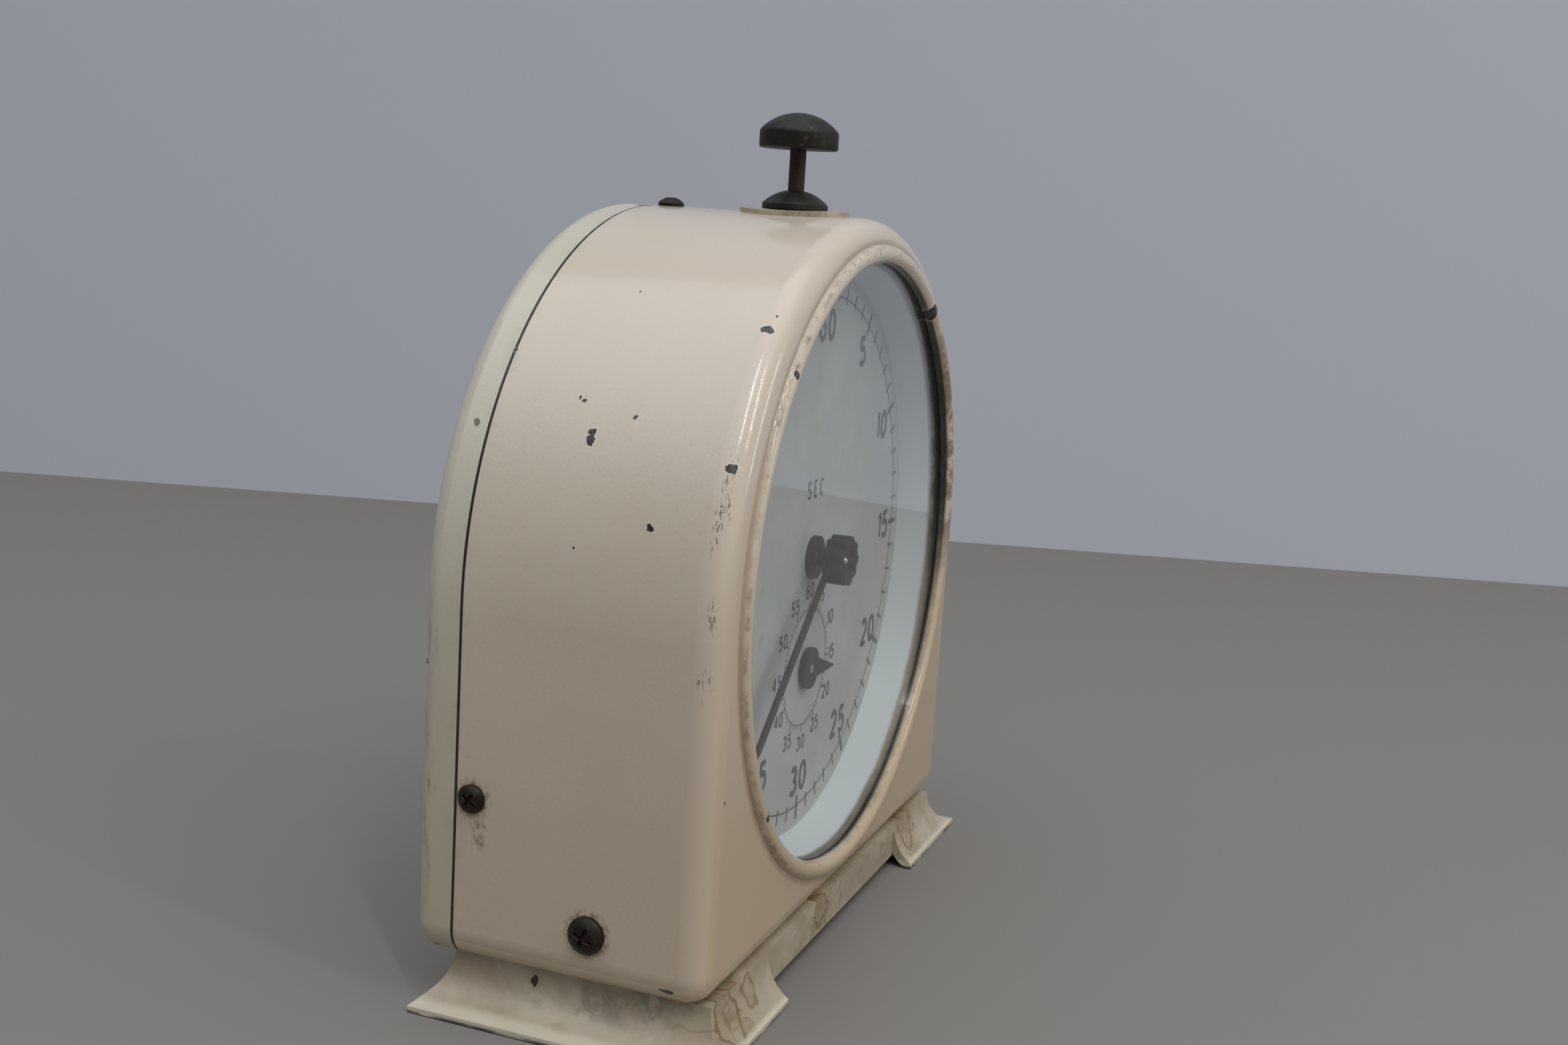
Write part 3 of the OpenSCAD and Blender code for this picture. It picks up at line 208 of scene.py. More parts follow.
# wide soft glows on the room's sky: direction, cosine where it starts, brightness, colour
glows = {
    "over": ((-0.18, 0, 0.98), 0.5, 1.62, (0.99, 1, 1.02)),
    "front": ((0, -1, 0.15), 0.5, 0.56, (1.22, 1, 0.7)),
}


def flatPiece(name, corners, place, turn, colour, rough):
    mesh = bpy.data.meshes.new(name)
    mesh.from_pydata(corners, [], [(0, 1, 2, 3)])
    mesh.materials.append(startMaterial(name + "_paint", Base_Color=colour + (1,), Roughness=rough)[0])
    piece = bpy.data.objects.new(name, mesh)
    piece.location = place
    piece.rotation_euler.z = turn
    bpy.context.scene.collection.objects.link(piece)


def makeRoom():
    r, high = room["reach"], room["wallHigh"]
    ground = [(-r, -r, 0), (r, -r, 0), (r, r, 0), (-r, r, 0)]
    flatPiece("floor", ground, (0, 0, -room["below"]), 0, room["floorColour"], room["floorRough"])
    upright = [(-r, 0, 0), (r, 0, 0), (r, 0, high), (-r, 0, high)]
    place = (*room["wallPlace"], -room["below"])
    turn = np.radians(room["wallTurn"] - 90)
    flatPiece("backdrop", upright, place, turn, room["wallColour"], room["wallRough"])
    world = bpy.data.worlds.new("soft_daylight")
    bpy.context.scene.world = world
    world.use_nodes = True
    tree = world.node_tree
    tree.nodes.clear()
    way = put(tree, "ShaderNodeTexCoord").outputs["Generated"]
    colour = room["dusk"]
    for toward, start, level, shade in glows.values():
        along = vec("DOT_PRODUCT", way, tuple(Vector(toward).normalized()))
        glow = span(along, start, 1, 0, level)
        colour = vec("ADD", vec("MULTIPLY", glow, shade), colour)
    sky = add("ShaderNodeBackground", {0: colour})
    add("ShaderNodeOutputWorld", {0: sky.outputs[0]})


lampAim = (0, 0, 0.075)  # metres
lamps = {
    # name: direction from the aim, distance, width, height, watts, colour
    "windowLeft": ((-0.454, -0.389, 0.802), 1.15, 0.03, 0.58, 1.7, (0.97, 0.98, 1)),
    "windowMiddle": ((-0.223, -0.727, 0.649), 1.2, 0.03, 0.55, 1.3, (0.97, 0.98, 1)),
    "windowRight": ((0.31, -0.903, 0.297), 1.2, 0.05, 0.55, 0.8, (0.97, 0.98, 1)),
}


def makeLamps():
    aim = Vector(lampAim)
    for name, (way, far, wide, high, watts, colour) in lamps.items():
        data = bpy.data.lights.new(name, "AREA")
        data.shape = "RECTANGLE"
        data.size = wide
        data.size_y = high
        data.energy = watts
        data.color = colour
        lamp = bpy.data.objects.new(name, data)
        lamp.location = aim + Vector(way).normalized() * far
        lamp.rotation_euler = (aim - lamp.location).to_track_quat("-Z", "Y").to_euler()
        bpy.context.scene.collection.objects.link(lamp)


makeRoom()
makeLamps()
print("room and lights made")


# shared effects
def newGroup(name, *numbers):
    # starts a group and returns its inputs: a place and the named numbers
    tree = bpy.data.node_groups.new(name, "ShaderNodeTree")
    tree.interface.new_socket("Vector", in_out="INPUT", socket_type="NodeSocketVector")
    for label in numbers:
        tree.interface.new_socket(label, in_out="INPUT", socket_type="NodeSocketFloat")
    return put(tree, "NodeGroupInput").outputs[:len(numbers) + 1]


def finishGroup(**results):
    # adds an output for each result and returns the group
    tree = next(iter(results.values())).id_data
    for label in results:
        tree.interface.new_socket(label, in_out="OUTPUT", socket_type="NodeSocketFloat")
    put(tree, "NodeGroupOutput", results)
    return tree


def makeGrain():
    # three noises: wide unevenness, fine tooth, and a height of orange peel with some of the tooth
    where, scale = newGroup("grain", "Scale")
    broad = noise(where, times(scale, 0.12), 2)
    fine = noise(where, times(scale, 6), 3, 0.6)
    peel = noise(where, scale, 2)
    height = total(times(peel, 0.8), times(fine, 0.2))
    return finishGroup(Broad=broad, Fine=fine, Height=height)


def makeScratches():
    # thin lines where a noise stretched along a slanted direction crosses its middle value, in patches
    where, scale, amount = newGroup("scratches", "Scale", "Amount")
    patch = noise(where, times(scale, 0.9), 2)
    shown = span(patch, less(0.72, times(amount, 0.3)), 0.78)
    slants = [
        ((0.3, 0.9, 0.5), (1, 14, 5)),
        ((0.9, -0.4, 1.4), (12, 1, 6)),
        ((1.6, 0.2, -0.7), (7, 13, 1)),
    ]
    lines = []
    for turn, stretch in slants:
        field = noise(stretched(where, stretch, turn), scale, 1, 0.4)
        off = calc("ABSOLUTE", less(field, 0.5))
        lines.append(times(span(off, 0, 0.004, 1, 0), shown))
    return finishGroup(Mask=most(*lines))


def makeSpecks():
    # small separate spots where a cell noise comes near a cell's middle, in patches
    where, scale, size, amount = newGroup("specks", "Scale", "Size", "Amount")
    warp = noise(where, times(scale, 1.8), 2)
    bent = vec("ADD", where, vec("MULTIPLY", warp, (0.0016,) * 3))
    cells = add("ShaderNodeTexVoronoi", {"Vector": bent, "Scale": scale})
    spot = span(cells.outputs["Distance"], times(size, 0.6), size, 1, 0)
    patch = noise(where, times(scale, 0.22), 2)
    chosen = add("ShaderNodeSeparateColor", {0: cells.outputs["Color"]}).outputs[0]
    level = total(times(chosen, 0.5), times(patch, 0.5))
    low = less(0.85, times(amount, 0.5))
    shown = span(level, low, total(low, 0.03))
    return finishGroup(Mask=times(spot, shown))


def makeBand():
    # 1 at a value and 0 from a width beyond it, broken up by noise
    labels = ("Value", "Centre", "Width", "Scale", "Breaks")
    where, value, centre, width, scale, breaks = newGroup("band", *labels)
    off = calc("ABSOLUTE", less(value, centre))
    near = span(calc("DIVIDE", off, width), 0, 1, 1, 0)
    spots = noise(where, scale, 4, 0.65)
    holes = span(spots, times(breaks, 0.8), total(breaks, 0.25))
    return finishGroup(Mask=times(near, holes))


def makeRadius():
    # distance from the dial's axis, depth, x, and height from the dial's centre, in metres
    parts = add("ShaderNodeSeparateXYZ", {0: newGroup("dial_radius")[0]}).outputs
    up = less(parts[2], dialZ)
    square = total(times(parts[0], parts[0]), times(up, up))
    return finishGroup(Radius=calc("SQRT", square), Depth=parts[1], Across=parts[0], Up=up)


# chips in the paint: x, y, z and radius in mm in the frame, and how much wider than high
chips = [
    (-45.63, -27.28, 116.56, 1.15, 1.6), (-42.98, -27.92, 118.75, 0.32, 1),
    (-57.25, -10.47, 101.82, 0.42, 1), (-59.3, -3.73, 97.9, 0.75, 0.65),
    (-58.75, -3.77, 99.12, 0.7, 1), (-56.14, -0.88, 103.67, 0.45, 1.4),
    (-55.94, -0.04, 104, 0.3, 1), (-59.7, -28.45, 96.02, 1.15, 1.7),
    (-63.79, -16.92, 85.85, 0.5, 0.7), (-64.84, -4.42, 81.28, 0.28, 1),
    (-43.83, -32.11, 109.72, 0.8, 1), (-44.82, -32.34, 35.95, 0.7, 0.8),
    (32.41, -31.75, 117.15, 2.1, 1), (-65.33, -24.62, 11.97, 1.5, 4),
    (-61.36, -31.05, 43.37, 0.35, 1), (-41.07, -2.51, 120.65, 0.25, 1),
    (-51.58, 14.6, 110.16, 0.45, 1), (-4.73, 14.71, 134.83, 1.5, 1),
    (-65.04, 21.22, 59.26, 0.55, 1), (-61.82, 0.89, 6.77, 0.7, 0.7),
]


def makeChips():
    # the least distance to any chip's middle over its radius, on a place shifted by noise
    where = shifted(newGroup("chips")[0], 0.0016, 620, 4, 0.6)
    offs = []
    for x, y, z, r, flat in chips:
        away = vec("SUBTRACT", where, (x * mm, y * mm, z * mm))
        away = vec("MULTIPLY", away, (1, 1, flat))
        offs.append(calc("DIVIDE", vec("LENGTH", away), r * mm))
    least = reduce(lambda a, b: calc("MINIMUM", a, b), offs)
    return finishGroup(Mask=span(least, 0.92, 1, 1, 0), Rim=span(least, 1, 1.35, 1, 0))


effects = {
    "grain": makeGrain(),
    "scratches": makeScratches(),
    "specks": makeSpecks(),
    "band": makeBand(),
    "dial_radius": makeRadius(),
    "chips": makeChips(),
}


def use(effect, *values):
    # places a shared effect in a material, with values for its inputs in their order
    return add("ShaderNodeGroup", dict(enumerate(values)), node_tree=effects[effect]).outputs


def scratches(*values):
    return use("scratches", *values)["Mask"]


def specks(*values):
    return use("specks", *values)["Mask"]


def band(*values):
    return use("band", *values)["Mask"]


# enamel of the case and its cover; radii are from the dial's axis and heights from its centre, in metres, a
# pair of places tells where an effect starts and where it is full, and a share is of full strength
enamel = {
    "grainScale": 150,  # patches per metre, here and below
    "sparkle": (1300, 0.46),  # scale of the fine ripple and its share of the height
    "coat": (0.25, 0.035),  # weight and roughness
    # painted shade: the lower half darker and warmer, standing in for warm bounce light from the floor
    "warmShade": (0.66, 0.49, 0.26),
    "warmShadeHeights": (0.032, -0.05),
    "warmShadeShare": 0.36,
    "warmShadeMoreOnFace": 0.45,
    "faceDepths": (atDepth(2.1), atDepth(1.6)),
    "scratches": (38, 0.2),  # scale and amount
    "scratched": (0.32, 0.27, 0.22),
    "scratchShare": 0.3,
    # bands of dirt and wear: middle, half width, scale of the gaps and how many there are
    "groove": (0.0592, 0.001, 85, 0.26),
    "foot": (0.0583, 0.0006, 420, 0.52),
    "lip": (0.0552, 0.0007, 240, 0.46),
    "bead": (0.0575, 0.0022, 60, 0.4),
    "edge": (atDepth(4), 0.0022, 70, 0.5),
    "rub": (atDepth(52.6), 0.0024, 120, 0.42),
    "grooveBrown": (0.255, 0.17, 0.09),
    "grooveShare": 0.48,
    "crestBrown": (0.165, 0.098, 0.05),
    "crestRadii": (0.06, 0.0588),
    "crestDepths": (atDepth(3), atDepth(2.4)),
    "crestAcross": (0.03, 0.048),
    "crestShare": 0.75,
    "crestScale": 260,
    # gasket grease and painted shade on the bead's inner side, darkest round the top, which faces down
    "greaseAndShadeBlack": (0.02, 0.024, 0.017),
    "greaseAndShadeHeights": (-0.022, 0.006),
    "greaseAndShadeDepths": (atDepth(0.7), atDepth(1.15)),  # above those heights
    "greaseAndShadeDeep": (atDepth(1.5), atDepth(2.1)),  # all the way round
    "greaseAndShadeEnd": (atDepth(4.6), atDepth(4.1)),
    "greaseAndShadeRadii": (0.0573, 0.0568),
    "greaseAndShadeShare": 0.95,
    # brown dirt, with the share of each place
    "brown": (0.075, 0.048, 0.03),
    "footShare": 0.75,
    "lipShare": 0.7,
    "haloShare": 0.65,
    "haloReach": 0.0016,
    "haloScale": 1000,
    "smearShare": 0.16,
    "smearWidths": 7,  # of the seam's width
    "smearGaps": (160, 0.52),
    "seamDepth": atDepth(46.9),
    "seamGaps": (300, 0.16),
    "seamHeights": (0.068, 0.05),
    "seamTopShare": 0.35,
    "seamBlack": (0.012, 0.015, 0.01),
    "rubGrey": (0.13, 0.125, 0.095),
    "rubHeights": (0.01, -0.012),
    "rubStreaks": ((1, 1, 0.18), 700),  # stretch and scale
    # worn marks
    "worn": (0.085, 0.062, 0.04),
    "wornShare": 0.8,
    "specks": (190, 0.13),  # scale and size
    "beadSpecks": (900, 0.34, 0.6),  # scale, size and amount
    "beadAcross": (0.018, 0.045),
    "beadHeights": (0.03, 0.052),
    "sideAcross": (-0.0565, -0.0615),
    "sideHeights": (-0.02, -0.005),
    "sideStreaks": ((1, 1, 0.22), 2300),
    "chipRim": (0.74, 0.7, 0.62),
    "chipRimShare": 0.4,
    "primer": ((0.01, 0.01, 0.01), (0.056, 0.056, 0.058)),
    "soiledRough": 0.35,
    "bump": (0.00012, 0.55),  # depth in metres and strength
}
# dark halos that screw heads left in the paint, and two small spots, in mm: x, depth behind the bead, height
# above the table and radius
halos = [(side * 66, d, z, r) for side in (-1, 1) for d, z, r in ((21.9, 18.8, 3.2), (43.8, 37.8, 2.5))]
halos += [(0, 43.8, 135, 2.5), (-66, 42.4, 33, 0.4), (-66, 42.2, 30.6, 0.4)]


def beadDirt(where, place, onFace, colour):
    # a brown film in the groove round the bead, a brown crest on its right, and its inner side black with
    # gasket grease and painted shade, most of all round the top, where the inner side faces down
    e = enamel
    groove = band(where, place["Radius"], *e["groove"])
    colour = tint(times(groove, onFace, e["grooveShare"]), colour, e["grooveBrown"])
    upper = span(place["Up"], *e["greaseAndShadeHeights"])
    crest = times(span(place["Radius"], *e["crestRadii"]), span(place["Depth"], *e["crestDepths"]),
        span(place["Across"], *e["crestAcross"], 0, e["crestShare"]),
        span(noise(where, e["crestScale"], 4, 0.6), 0.36, 0.56), upper)
    colour = tint(crest, colour, e["crestBrown"])
    # painted shade and grease on the bead's inner side: near the front round the top, deeper in all the way
    # round
    start = times(upper, span(place["Depth"], *e["greaseAndShadeDepths"]))
    start = most(start, span(place["Depth"], *e["greaseAndShadeDeep"]))
    inner = span(place["Radius"], *e["greaseAndShadeRadii"], 0, e["greaseAndShadeShare"])
    greaseAndShade = times(start, inner, span(place["Depth"], *e["greaseAndShadeEnd"]))
    return tint(greaseAndShade, colour, e["greaseAndShadeBlack"])


def brownDirt(where, place, onFace, seamWidth):
    # dirt at the bead's foot and lip, round the screws and beside the seam
    e = enamel
    foot = band(where, place["Radius"], *e["foot"])
    lip = band(where, place["Radius"], *e["lip"])
    smear = band(where, place["Depth"], e["seamDepth"], seamWidth * e["smearWidths"], *e["smearGaps"])
    spots = []
    for x, d, z, r in halos:
        off = vec("DISTANCE", where, (x * mm, atDepth(d), z * mm))
        spots.append(span(off, r * mm + e["haloReach"], r * mm - 0.0001))
    halo = times(most(*spots), span(noise(where, e["haloScale"], 3), 0.4, 0.62))
    return most(times(foot, onFace, e["footShare"]), times(halo, e["haloShare"]),
        times(smear, e["smearShare"]), times(lip, onFace, e["lipShare"]))


def coverRubbing(where, place):
    # greenish-grey rubbing along the cover's rounded back edge, streaked along its height
    stretch, scale = enamel["rubStreaks"]
    streak = noise(stretched(where, stretch), scale, 4)
    return times(band(where, place["Depth"], *enamel["rub"]), span(streak, 0.5, 0.62),
        span(place["Up"], *enamel["rubHeights"]))


def wornMarks(where, place, onFace, speckAmount):
    # specks everywhere, worn spots on the bead's upper right, and a rubbed stretch of the left front edge
    e = enamel
    speck = specks(where, *e["specks"], speckAmount)
    worse = most(span(place["Across"], *e["beadAcross"]), span(place["Up"], *e["beadHeights"]))
    beadWorn = times(specks(where, *e["beadSpecks"]), band(where, place["Radius"], *e["bead"]), worse, onFace)
    edge = span(band(where, place["Depth"], *e["edge"]), 0.12, 0.5)
    leftSide = times(span(place["Across"], *e["sideAcross"]), span(place["Up"], *e["sideHeights"]))
    stretch, scale = e["sideStreaks"]
    streak = noise(stretched(where, stretch), scale, 4, 0.6)
    rubbed = times(span(streak, 0.555, 0.6), edge, leftSide)
    return most(speck, rubbed, beadWorn)


def makeEnamel(name, base, shade, rough, peel, seamWidth, speckAmount, rubbing=0):
    # gloss enamel with orange peel, chips down to dark primer, dirt at the seam and in the bead's groove
    e = enamel
    coat, coatRough = e["coat"]
    mat, where, body = startMaterial(name, IOR=1.5, Coat_Weight=coat, Coat_Roughness=coatRough)
    grain = use("grain", where, e["grainScale"])
    place = use("dial_radius", where)
    onFace = span(place["Depth"], *e["faceDepths"])
    colour = tint(span(grain["Broad"], 0.35, 0.68), base, shade)
    # the lower half is painted darker and warmer than the top, most of all on the face: painted shade and
    # warm bounce light from the floor
    low = span(place["Up"], *e["warmShadeHeights"], 0, e["warmShadeShare"])
    low = times(low, total(times(onFace, e["warmShadeMoreOnFace"]), 1))
    colour = tint(low, colour, e["warmShade"], "MULTIPLY")
    scratch = scratches(where, *e["scratches"])
    colour = tint(times(scratch, e["scratchShare"]), colour, e["scratched"])
    colour = beadDirt(where, place, onFace, colour)
    dirt = brownDirt(where, place, onFace, seamWidth)
    colour = tint(dirt, colour, e["brown"])
    # the joint between case and cover is a thin dark line, fainter at the top
    seam = band(where, place["Depth"], e["seamDepth"], seamWidth, *e["seamGaps"])
    seam = times(seam, span(place["Up"], *e["seamHeights"], e["seamTopShare"], 1))
    colour = tint(span(seam, 0.05, 0.5), colour, e["seamBlack"])
    if rubbing:
        colour = tint(times(coverRubbing(where, place), rubbing), colour, e["rubGrey"])
    marks = wornMarks(where, place, onFace, speckAmount)
    colour = tint(times(marks, e["wornShare"]), colour, e["worn"])
    chip = use("chips", where)
    colour = tint(times(chip["Rim"], e["chipRimShare"]), colour, e["chipRim"])
    primer = tint(span(grain["Fine"], 0.42, 0.58), *e["primer"])
    colour = tint(chip["Mask"], colour, primer)
    gone = most(chip["Mask"], times(marks, 0.7))
    soiled = times(most(gone, dirt, seam), e["soiledRough"])
    roughness = total(times(grain["Fine"], 0.1), rough - 0.05)
    roughness = calc("ADD", roughness, soiled, clamp=True)
    rippleScale, ripple = e["sparkle"]
    sparkle = times(noise(where, rippleScale, 2, 0.55), ripple)
    height = total(times(grain["Height"], peel), sparkle, times(chip["Rim"], 0.25))
    height = less(height, times(most(gone, seam), 0.9), times(scratch, 0.12))
    finishMaterial(body, colour, roughness, height, *e["bump"])
    return mat


# thick brushed cream paint of the base and the washer
basePaint = {
    "tones": ((0.375, 0.318, 0.232), (0.455, 0.4, 0.308)),
    "soot": (0.15, 0.128, 0.088),
    "glue": (0.19, 0.115, 0.04),
    "speck": (0.15, 0.12, 0.09),
    "paintedEdgeHighlight": (0.68, 0.63, 0.52),
    "paintedContactShadow": (0.09, 0.09, 0.075),
    "chip": (0.05, 0.035, 0.028),
    # heights above the table in metres, where each starts and is full
    "sootHeights": (0.002, 0.0045),
    "edgeHighlightHeights": (0.0019, 0.0011),
    "contactShadowHeights": (0.0006, 0.0002),
    "bump": (0.0008, 0.7),  # depth in metres and strength
}
glueSpots = {
    # brown glue stains on the front of the feet: middle in metres, reach in metres, strength, ring in metres
    "nearFoot": ((-0.056, -0.032, 0.005), 0.0135, 1, 0.0048),
    "nearFootEdge": ((-0.047, -0.0318, 0.0058), 0.007, 0.8, 0.0026),
    "farFoot": ((0.0426, -0.0312, 0.0063), 0.0095, 0.85, 0.004),
    "strip": ((-0.0091, -0.0309, 0.0065), 0.008, 1, 0.003),
}


def glueStains(where, colour):
    # each stain is a bent ring with a faint fill, and blots where a noise crosses its middle value
    field = noise(where, 95, 3, 0.5, 0.4)
    blot = span(calc("ABSOLUTE", less(field, 0.5)), 0.004, 0.034, 0.95, 0)
    blot = most(times(blot, 0.6), span(field, 0.5, 0.6, 0, 0.38))
    bent = shifted(where, 0.007, 210, 3)
    for middle, reach, strength, wide in glueSpots.values():
        near = span(vec("DISTANCE", where, middle), reach, reach * 0.35, 0, strength)
        away = vec("DISTANCE", bent, middle)
        ring = span(calc("ABSOLUTE", less(away, wide)), 0.0001, 0.0008, 0.9, 0)
        ring = most(ring, span(away, wide, wide * 0.8, 0, 0.25))
        stain = most(times(near, blot), times(ring, strength))
        colour = tint(stain, colour, basePaint["glue"])
    return colour


def makeBasePaint(name):
    # soft runs, soot in the folds, glue stains, a painted highlight along the rolled edge and a painted
    # contact shadow where it meets the table
    p = basePaint
    mat, where, body = startMaterial(name, IOR=1.5, Coat_Weight=0.2, Coat_Roughness=0.2)
    grain = use("grain", where, 260)
    up = total(use("dial_radius", where)["Up"], dialZ)
    blob = noise(where, 150, 3, 0.5, 0.2)
    lump = noise(where, 420, 2, 0.5, 0.4)
    colour = tint(span(blob, 0.36, 0.64), *p["tones"])
    soot = span(noise(where, 75, 5, 0.62), 0.5, 0.66)
    soot = times(soot, span(up, *p["sootHeights"]), span(lump, 0.3, 0.55))
    colour = tint(times(soot, 0.62), colour, p["soot"])
    colour = glueStains(where, colour)
    colour = tint(times(specks(where, 260, 0.2, 0.3), 0.6), colour, p["speck"])
    # painted highlight along the rolled lower edge
    colour = tint(times(span(up, *p["edgeHighlightHeights"]), 0.7), colour, p["paintedEdgeHighlight"])
    # painted contact shadow in patches, where the edge meets the table
    foot = times(span(up, *p["contactShadowHeights"]), span(blob, 0.35, 0.55))
    colour = tint(foot, colour, p["paintedContactShadow"])
    chip = use("chips", where)["Mask"]
    colour = tint(chip, colour, p["chip"])
    roughness = total(times(grain["Fine"], 0.2), 0.26)
    roughness = calc("ADD", roughness, times(soot, 0.3), clamp=True)
    raised = [times(blob, 0.7), times(lump, 0.28), times(grain["Height"], 0.1)]
    height = less(total(*raised), times(chip, 0.4))
    finishMaterial(body, colour, roughness, height, *p["bump"])
    return mat


# worn finishes: two tones, patches per metre, roughness, depth of the bump in metres, any tint of scratches
# and specks, and the refractive index
wornFinishes = {
    "gasket_rubber": {"dark": (0.007, 0.01, 0.008), "light": (0.018, 0.022, 0.018), "patches": 300,
        "rough": 0.55, "ior": 1.3},
    "dial_white": {"dark": (0.375, 0.385, 0.385), "light": (0.445, 0.455, 0.455), "patches": 45,
        "rough": 0.55, "depth": 0.00004, "speckTint": (0.4, 0.36, 0.28)},
    "dial_ink": {"dark": (0.03, 0.032, 0.036), "light": (0.07, 0.072, 0.078), "patches": 400,
        "rough": 0.55, "depth": 0.00002},
    "hand_black": {"dark": (0.004, 0.004, 0.004), "light": (0.012, 0.012, 0.0115), "patches": 260,
        "rough": 0.48, "depth": 0.00004, "speckTint": (0.06, 0.056, 0.05), "ior": 1.27},
    "plunger_black": {"dark": (0.008, 0.009, 0.007), "light": (0.022, 0.024, 0.019), "patches": 240,
        "rough": 0.5, "scratchTint": (0.05, 0.052, 0.044), "speckTint": (0.07, 0.06, 0.045), "ior": 1.36},
    "stem_steel": {"dark": (0.005, 0.003, 0.002), "light": (0.032, 0.013, 0.006), "patches": 420,
        "rough": 0.58, "depth": 0.0001, "scratchTint": (0.14, 0.09, 0.06)},
    "screw_steel": {"dark": (0.005, 0.003, 0.0025), "light": (0.019, 0.009, 0.006), "patches": 420,
        "rough": 0.46, "speckTint": (0.07, 0.036, 0.022), "ior": 1.36},
}


def makeWorn(name, dark, light, patches, rough, depth=0.00008, scratchTint=None, speckTint=None, ior=1.5):
    # two tones in patches with fine tooth, scratches and specks: rubber, card, ink, matt paint or rust
    mat, where, body = startMaterial(name, IOR=ior)
    grain = use("grain", where, patches)
    patch = noise(where, patches, 5, 0.62, 0.4)
    colour = tint(span(patch, 0.36, 0.66), dark, light)
    height = total(times(grain["Fine"], 0.5), times(patch, 0.5))
    if scratchTint:
        scratch = scratches(where, patches * 0.4, 0.9)
        colour = tint(times(scratch, 0.6), colour, scratchTint)
        height = less(height, times(scratch, 0.3))
    if speckTint:
        colour = tint(times(specks(where, patches * 3, 0.3, 0.6), 0.6), colour, speckTint)
    roughness = total(times(grain["Fine"], 0.22), rough - 0.11)
    finishMaterial(body, colour, roughness, height, depth, 0.6)
    return mat


# bare metals: bright and dull tone, roughness, patches per metre, and the share of brushing in the bump
metalFinishes = {
    "key_steel": ((0.6, 0.58, 0.54), (0.3, 0.26, 0.2), 0.24, 130, 0.5),
    "plate_brass": ((0.72, 0.54, 0.25), (0.42, 0.28, 0.12), 0.26, 90, 0.8),
    "wheel_brass": ((0.78, 0.59, 0.28), (0.48, 0.33, 0.14), 0.22, 150, 0.5),
    "arbor_steel": ((0.56, 0.56, 0.57), (0.3, 0.28, 0.26), 0.2, 160, 0.5),
    "spring_steel": ((0.22, 0.26, 0.36), (0.12, 0.11, 0.12), 0.22, 140, 0.5),
}


def makeMetal(name, bright, dull, rough, patches, brushing):
    # fine brushed grain, darker tarnish in patches and thin scratches
    mat, where, body = startMaterial(name, Metallic=1)
    grain = use("grain", where, patches)
    brushed = noise(stretched(where, (1, 1, 14)), 900, 2)
    tarnish = span(noise(where, patches * 0.5, 5, 0.6, 0.5), 0.46, 0.74)
    colour = tint(tarnish, bright, dull)
    scratch = scratches(where, patches * 0.6, 0.7)
    colour = tint(times(scratch, 0.5), colour, dull)
    roughness = total(times(tarnish, 0.28), rough, times(grain["Fine"], 0.08))
    height = total(times(brushed, brushing), times(grain["Fine"], 0.3))
    finishMaterial(body, colour, roughness, height, 0.00003, 0.5)
    return mat


windowGlass = {
    "tint": (0.93, 0.955, 0.95, 1),
    "specular": 0.27,  # 0.5 mirrors as the refractive index says, and less is a fainter mirror
}


def makeGlass(name):
    # clear glass with a faint film of dust that only shows in its roughness; light passes it without shadow
    mat, where, body = startMaterial(name, IOR=1.5, Transmission_Weight=1, Base_Color=windowGlass["tint"],
        Specular_IOR_Level=windowGlass["specular"])
    film = noise(where, 60, 5, 0.6)
    wipe = scratches(where, 30, 0.5)
    roughness = total(span(film, 0.55, 0.8, 0, 0.015), times(wipe, 0.03))
    tree = mat.node_tree
    path = put(tree, "ShaderNodeLightPath").outputs["Is Shadow Ray"]
    clear = put(tree, "ShaderNodeBsdfTransparent", {0: windowGlass["tint"]})
    mix = add("ShaderNodeMixShader", {0: path, 1: body.outputs[0], 2: clear.outputs[0]})
    out = [node for node in tree.nodes if node.type == "OUTPUT_MATERIAL"][0]
    tree.links.new(mix.outputs[0], out.inputs[0])
    finishMaterial(body, None, roughness, film, 0.00001, 0.1)
    return mat


spacer = {
    "tones": ((0.6, 0.645, 0.665), (0.67, 0.71, 0.73)),
    # gasket grease and painted shade where the card meets the glass under the bead's lip
    "greaseAndShade": (0.01, 0.016, 0.012),
    "greaseAndShadeDepths": (atDepth(5.9), atDepth(4.9)),  # where the grease starts and where it is full
    "speck": (0.36, 0.3, 0.22),
}


def makeSpacer(name):
    # white painted card that is dark where it meets the glass: gasket grease and painted shade under the
    # bead's lip
    mat, where, body = startMaterial(name, IOR=1.4)
    grain = use("grain", where, 90)
    place = use("dial_radius", where)
    colour = tint(span(grain["Broad"], 0.36, 0.66), *spacer["tones"])
    wave = times(less(noise(where, 60, 3), 0.5), 0.0012)
    depth = total(place["Depth"], wave, span(place["Up"], 0, -0.03, 0, 0.0005))
    greaseAndShade = span(depth, *spacer["greaseAndShadeDepths"])
    # painted shade and grease near the glass, reaching a little less far towards the bottom
    colour = tint(times(greaseAndShade, 0.97), colour, spacer["greaseAndShade"])
    colour = tint(times(specks(where, 140, 0.14, 0.12), 0.5), colour, spacer["speck"])
    roughness = total(times(grain["Fine"], 0.2), 0.36)
    height = total(grain["Height"], times(greaseAndShade, 0.5))
    finishMaterial(body, colour, roughness, height, 0.00005, 0.5)
    return mat


